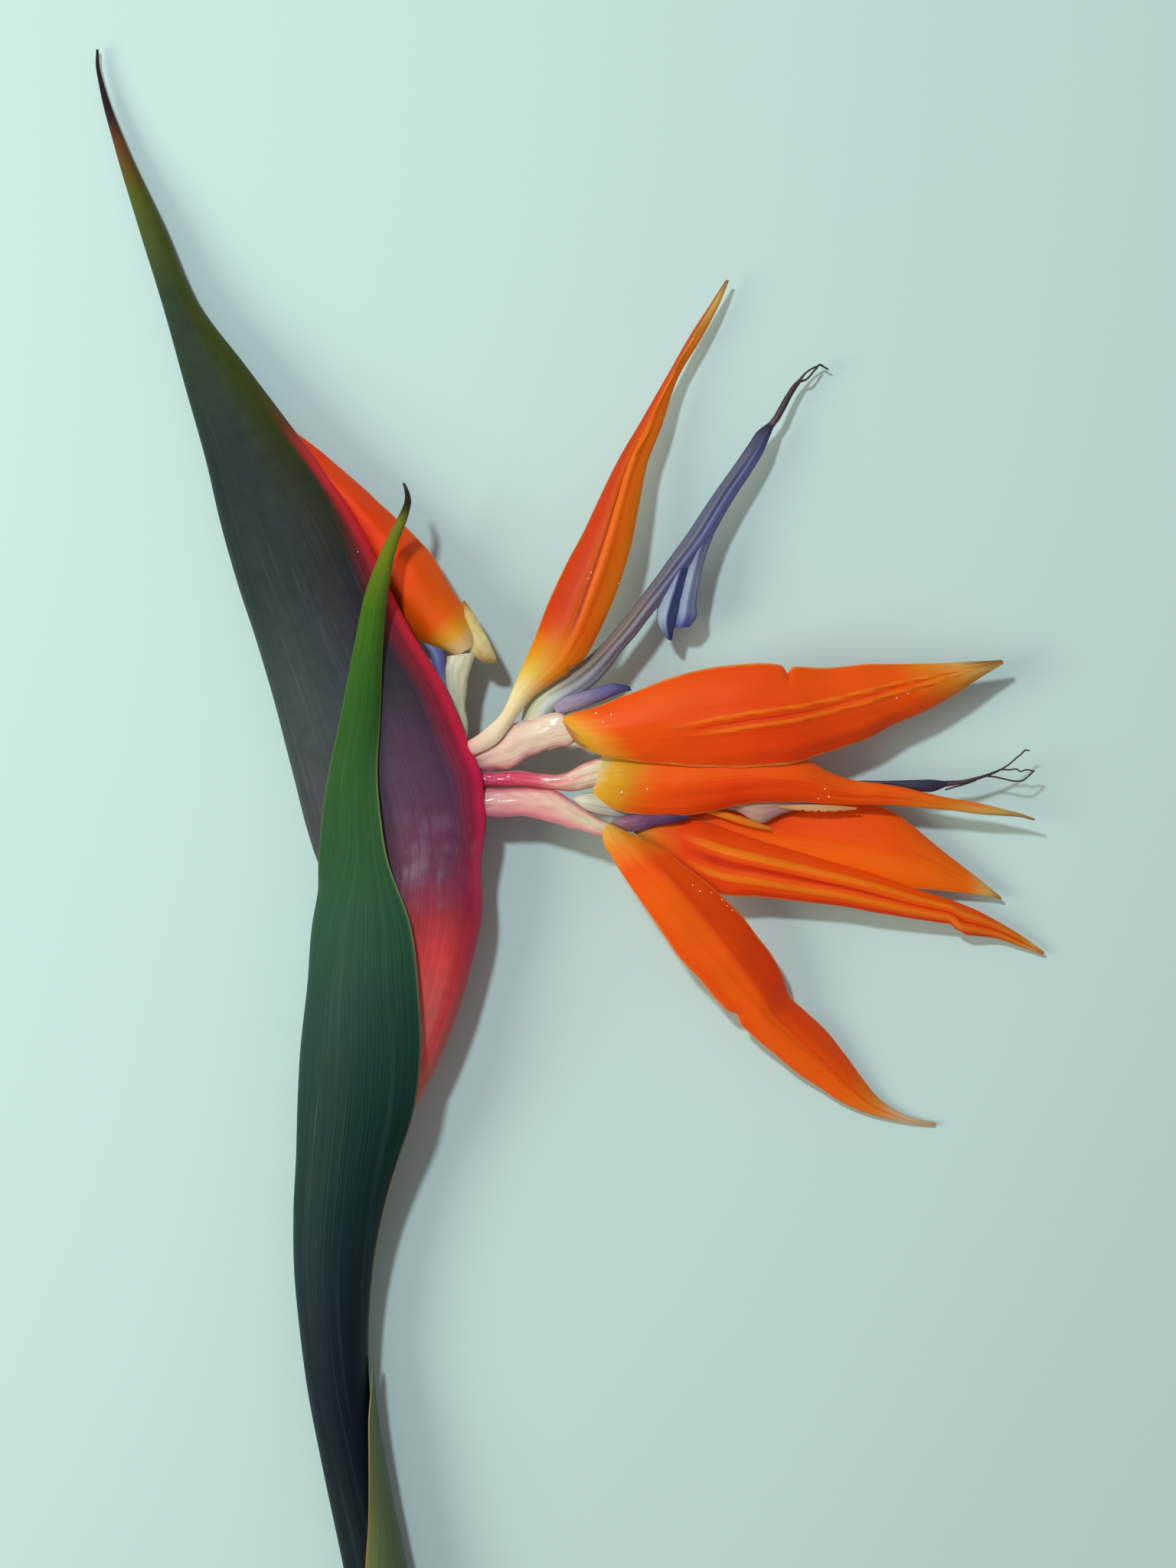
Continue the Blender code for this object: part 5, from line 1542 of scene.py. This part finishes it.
# %% Small petals
PETAL_1 = [
    (-2, 10.9, 2.4, 9.1, 0.1, 0.5, 0), (-0.5, 8.8, 2.6, 8, 0.2, 0.8, 0.2),
    (0.4, 5.9, 2.6, 5.6, 0.2, 0.8, 0.2), (1.7, 3.5, 2.7, 3.5, 0.1, 0.5, 0.2),
    (2.7, 1.4, 3, 1.4, -0.1, 0.1, 0),
]
small_blue = petal_skin(
    "small_blue", [(0, (0.1, 0.12, 0.34)), (0.5, (0.12, 0.15, 0.44)), (1, (0.3, 0.34, 0.44))], 15,
    (1.3, 1.3, 1.1), PLAIN, (0.03, 0.03, 0.16),
)
blade(
    "petal_of_flower_1", "petal_1", PETAL, PETAL_1, 0.5, small_blue, rows=50, seed=12, ripple=0.1,
)
FLAP_2 = [
    (1.2, 1.5, 2.1, -0.7, -0.5, 0.3, 0), (3.8, 3.3, 5, 0.3, -0.4, 0.7, 0.2),
    (7.1, 4.2, 8.3, 1.4, -0.3, 0.9, 0.3), (10.5, 5.1, 11.5, 2.7, -0.4, 0.8, 0.3),
    (13.6, 5.6, 14.5, 3.9, -0.5, 0.6, 0.3), (16, 5.1, 16.4, 4.3, -0.5, 0.1, 0),
]
flap_violet = petal_skin(
    "flap_violet",
    [
        (0, (0.44, 0.34, 0.42)), (0.35, (0.34, 0.26, 0.38)), (0.7, (0.17, 0.14, 0.36)),
        (1, (0.03, 0.03, 0.16)),
    ],
    16, (0.8, 0.8, 0.9), (1.1, 1.1, 1.1), (0.03, 0.02, 0.12),
)
blade(
    "flap_of_flower_2", "nectary_petal_2", PETAL, FLAP_2, 0.6, flap_violet, rows=FLAP_ROWS,
    seed=13,
)
FLAP_3 = [
    (-0.3, 0.9, -0.1, 0.3, 0.7, 0.1, 0), (1.2, 1.9, 1.5, -0.2, 0.9, 0.5, 0.2),
    (4.5, 2.9, 4.8, -0.5, 1, 0.8, 0.2), (8.6, 3.1, 8.9, 0.6, 0.9, 0.7, 0.2),
    (12.5, 3.4, 12.8, 1.2, 0.8, 0.5, 0.2), (14.9, 2.9, 15, 1.9, 0.6, 0.1, 0),
]
flap_pink = petal_skin(
    "flap_pink",
    [
        (0, (0.42, 0.2, 0.24)), (0.3, (0.24, 0.08, 0.16)), (0.65, (0.13, 0.04, 0.13)),
        (1, (0.03, 0.015, 0.1)),
    ],
    17, (0.9, 0.8, 0.9), (1, 0.9, 1), (0.03, 0.008, 0.05),
)
blade("flap_of_flower_3", "nectary_petal_3", PETAL, FLAP_3, 0.6, flap_pink, rows=FLAP_ROWS, seed=14)

# %% [markdown]
# ## Styles
#
# The styles are thin dark threads, which split into a few finer ones at the end. They dry and
# twist, so each thread is a tube through a few points, each with its own thickness.


# %% Threads and their paint
THREAD_ROWS = 60
THREAD_HEIGHT = 0.9  # at most, in millimetres


def style_skin():
    leaf = Leaf("style_dark")
    fine = leaf.veins(6, 12, 3)
    colour = leaf.ramp(
        leaf.v, (0, (0.07, 0.02, 0.04)), (0.5, (0.03, 0.012, 0.026)), (1, (0.035, 0.02, 0.026))
    )
    shine = leaf.band(leaf.u, 0.5, 0.3) * (1 - leaf.step(leaf.v, 0.3, 0.6))
    colour = leaf.mix(shine * 0.5, colour, (0.16, 0.06, 0.08))
    colour = leaf.mix(leaf.step(fine, 0.5, 0.7) * 0.4, colour, (0.07, 0.035, 0.05))
    roughness = 0.4 + fine * 0.2
    return leaf.finish(colour, roughness, fine, 0.1, Coat_Weight=0.1, Coat_Roughness=0.3)


def style(name, node, threads, material):
    """One tube for each thread, whose points are (x, y, z, thickness)."""
    for k, points in enumerate(threads):
        stations = [(x, y, z, width, min(width, THREAD_HEIGHT)) for x, y, z, width in points]
        rings, u, v = tube(stations, THREAD_ROWS)
        body(f"{name}_{k + 1}", rings + corner(node), u, v, material, node, "dark_style")


style_paint = style_skin()
print("a thread has", THREAD_ROWS, "rings")

# %% Build the styles
STYLE_2 = [
    [
        (0.9, 0.7, 2.8, 1.35), (2, 2.2, 2.7, 1.35), (3.2, 4.3, 2.3, 1.35), (4.5, 6.7, 1.9, 1.2),
        (5.7, 8.5, 1.6, 1.05), (6.6, 9.6, 1.4, 0.75),
    ],
    [
        (6.5, 9.6, 1.4, 0.6), (7.7, 11, 1.2, 0.42), (8.9, 11.9, 0.9, 0.39), (10, 12.4, 0.7, 0.39),
        (10.6, 12.7, 0.6, 0.48), (11.3, 12.3, 0.5, 0.39), (12.2, 11.8, 0.4, 0.36),
    ],
    [
        (6.6, 9.4, 1.5, 0.6), (7.7, 9.7, 1.5, 0.45), (8.6, 10.5, 1.4, 0.39),
        (9.3, 11.4, 1.2, 0.39), (10.1, 12.2, 1, 0.39),
    ],
]
style("style_of_flower_2", "style_2", STYLE_2, style_paint)
STYLE_3 = [
    [
        (-0.7, 0.1, 1.2, 1.2), (2.2, 0.4, 1, 0.82), (5.2, 1.1, 0.9, 0.67), (7.7, 1.9, 0.8, 0.54),
        (10.1, 2.9, 0.7, 0.42),
    ],
    [
        (9.9, 2.8, 0.7, 0.39), (11.6, 3.9, 0.6, 0.33), (13.1, 5.2, 0.6, 0.33),
        (14.1, 6, 0.6, 0.33), (14.7, 6.6, 0.5, 0.33), (15.6, 6.5, 0.4, 0.27),
    ],
    [
        (10, 2.9, 0.6, 0.36), (11.6, 2.8, 0.5, 0.33), (13.1, 2.9, 0.5, 0.3), (13.7, 2.5, 0.5, 0.3),
        (14.9, 2.8, 0.4, 0.3), (16.5, 2.5, 0.3, 0.33),
    ],
    [
        (7.1, 1.6, 0.7, 0.42), (8.9, 1.4, 0.5, 0.36), (10.7, 1, 0.3, 0.33), (12.7, 0.6, 0.2, 0.33),
        (14.2, 0.7, 0.2, 0.33), (15.4, 1.6, 0.2, 0.33), (16.5, 2.7, 0.3, 0.39),
    ],
    [
        (-0.9, -1.1, 0.7, 0.33), (0.7, -0.6, 0.7, 0.36), (2.6, -0.1, 0.8, 0.36),
        (5.2, 0.8, 0.9, 0.33),
    ],
]
style("style_of_flower_3", "style_3", STYLE_3, style_paint)

# %% [markdown]
# ## Sap and its painted glints
#
# The cut and bruised pieces weep a little sap. Each drop is a low dome, set down on the surface
# below it by a ray cast from above, so it always touches the flower. The drops are near white:
# most are painted glints of wet sap, which show under any light, and the row on the lower sepal
# stands for real dried specks of sap.


# %% Paint and places of the sap and its painted glints
def sap_glint_skin():
    leaf = Leaf("sap_painted_glint")
    # painted glints: a near-white colour, so that each drop shows as a glint of wet sap under any
    # light
    colour = leaf.mix(leaf.cloud(0.5), (1.0, 0.86, 0.70), (1.0, 0.96, 0.88))
    roughness = 0.05 + leaf.cloud(0.4) * 0.05
    return leaf.finish(colour, roughness, Transmission_Weight=0.10, IOR=1.4, Coat_Weight=1.0)


# the plain solid below; x and y from its corner; radius
SAP_AND_GLINTS = [
    ("sepal_2_broad", 5.6, 10.7, 0.45), ("sepal_2_broad", 8.5, 10.4, 0.4),
    ("sepal_2_broad", 7, 9, 0.3), ("sepal_2_broad", 63.7, 13.7, 0.3),
    ("sepal_2_broad", 65.9, 14.6, 0.3), ("sepal_3_rolled", 3, 5.6, 0.45),
    ("sepal_3_rolled", 7.9, 6.2, 0.35), ("sepal_3_rolled", 43.1, 4.7, 0.35),
    ("sepal_3_rolled", 41.1, 4.4, 0.3), ("sepal_3_rolled", 42.3, 6.2, 0.35),
    ("pedicel_3", 9.4, 6.9, 0.6), ("pedicel_3", 12.5, 6.9, 0.4), ("pedicel_3", 11.2, 11.9, 0.3),
    ("pedicel_2", 13.3, 5.1, 0.35), ("sepal_2_upright", 5, 9.6, 0.3),
    ("sepal_2_upright", 5.2, 6.8, 0.35), ("sepal_3_lower", 16.5, 47.5, 0.3),
    ("sepal_3_lower", 17.9, 46.3, 0.35), ("sepal_3_lower", 20.2, 46, 0.3),
    ("sepal_3_lower", 22.2, 44.6, 0.35), ("sepal_3_lower", 23.2, 43.4, 0.3),
    ("sepal_3_lower", 24.2, 42.5, 0.35), ("sepal_2_upright", 20.4, 33, 0.3),
    ("sepal_2_upright", 19.8, 31.8, 0.25), ("sepal_2_upright", 25.7, 30.9, 0.3),
    ("spathe", 51.8, 123.3, 0.25), ("pedicel_1", 7.9, 17.4, 0.3), ("pedicel_1", 7.6, 14.9, 0.35),
]
print(len(SAP_AND_GLINTS), "drops")

# %% Set down the drops
DROP_HEIGHT = 0.5  # of its radius
DROP_SCALE = 0.45
DOME_ROWS, DOME_POINTS = 9, 16
POLE_GAP = 0.12  # radians left open at the poles, which the end faces close
ABOVE = 40  # mm, where the ray starts


def drop_rings(radius):
    """A squashed ball as rings from top to bottom."""
    phi = np.linspace(POLE_GAP, math.pi - POLE_GAP, DOME_ROWS)[:, None, None]
    angle = np.linspace(0, 2 * math.pi, DOME_POINTS, endpoint=False)[:, None]
    flat = radius * np.sin(phi) * np.concatenate([np.cos(angle), np.sin(angle)], axis=1)
    tall = np.broadcast_to(radius * DROP_HEIGHT * np.cos(phi), flat.shape[:2] + (1,))
    return np.concatenate([flat, tall], axis=2)


sap = sap_glint_skin()
drop_u, drop_v = np.linspace(0, 1, DOME_POINTS), np.linspace(0, 1, DOME_ROWS)
layer = bpy.context.view_layer
layer.update()
for k, (node, x, y, radius) in enumerate(SAP_AND_GLINTS):
    spot = Vector((corner(node) + (x, y, 0)) * MM)
    spot.z = ABOVE * MM
    graph = layer.depsgraph
    hit, place, _, _, below, _ = bpy.context.scene.ray_cast(graph, spot, Vector((0, 0, -1)))
    if not hit or "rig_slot" not in below:
        print("no surface for drop", k)
        continue
    rings = drop_rings(radius * DROP_SCALE) + np.array(place) / MM
    body(f"sap_glint_drop_{k + 1}", rings, drop_u, drop_v, sap, node, below["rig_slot"])

# %% [markdown]
# ## The box of the part
#
# The fine surfaces have to stay in the box of the plain part.
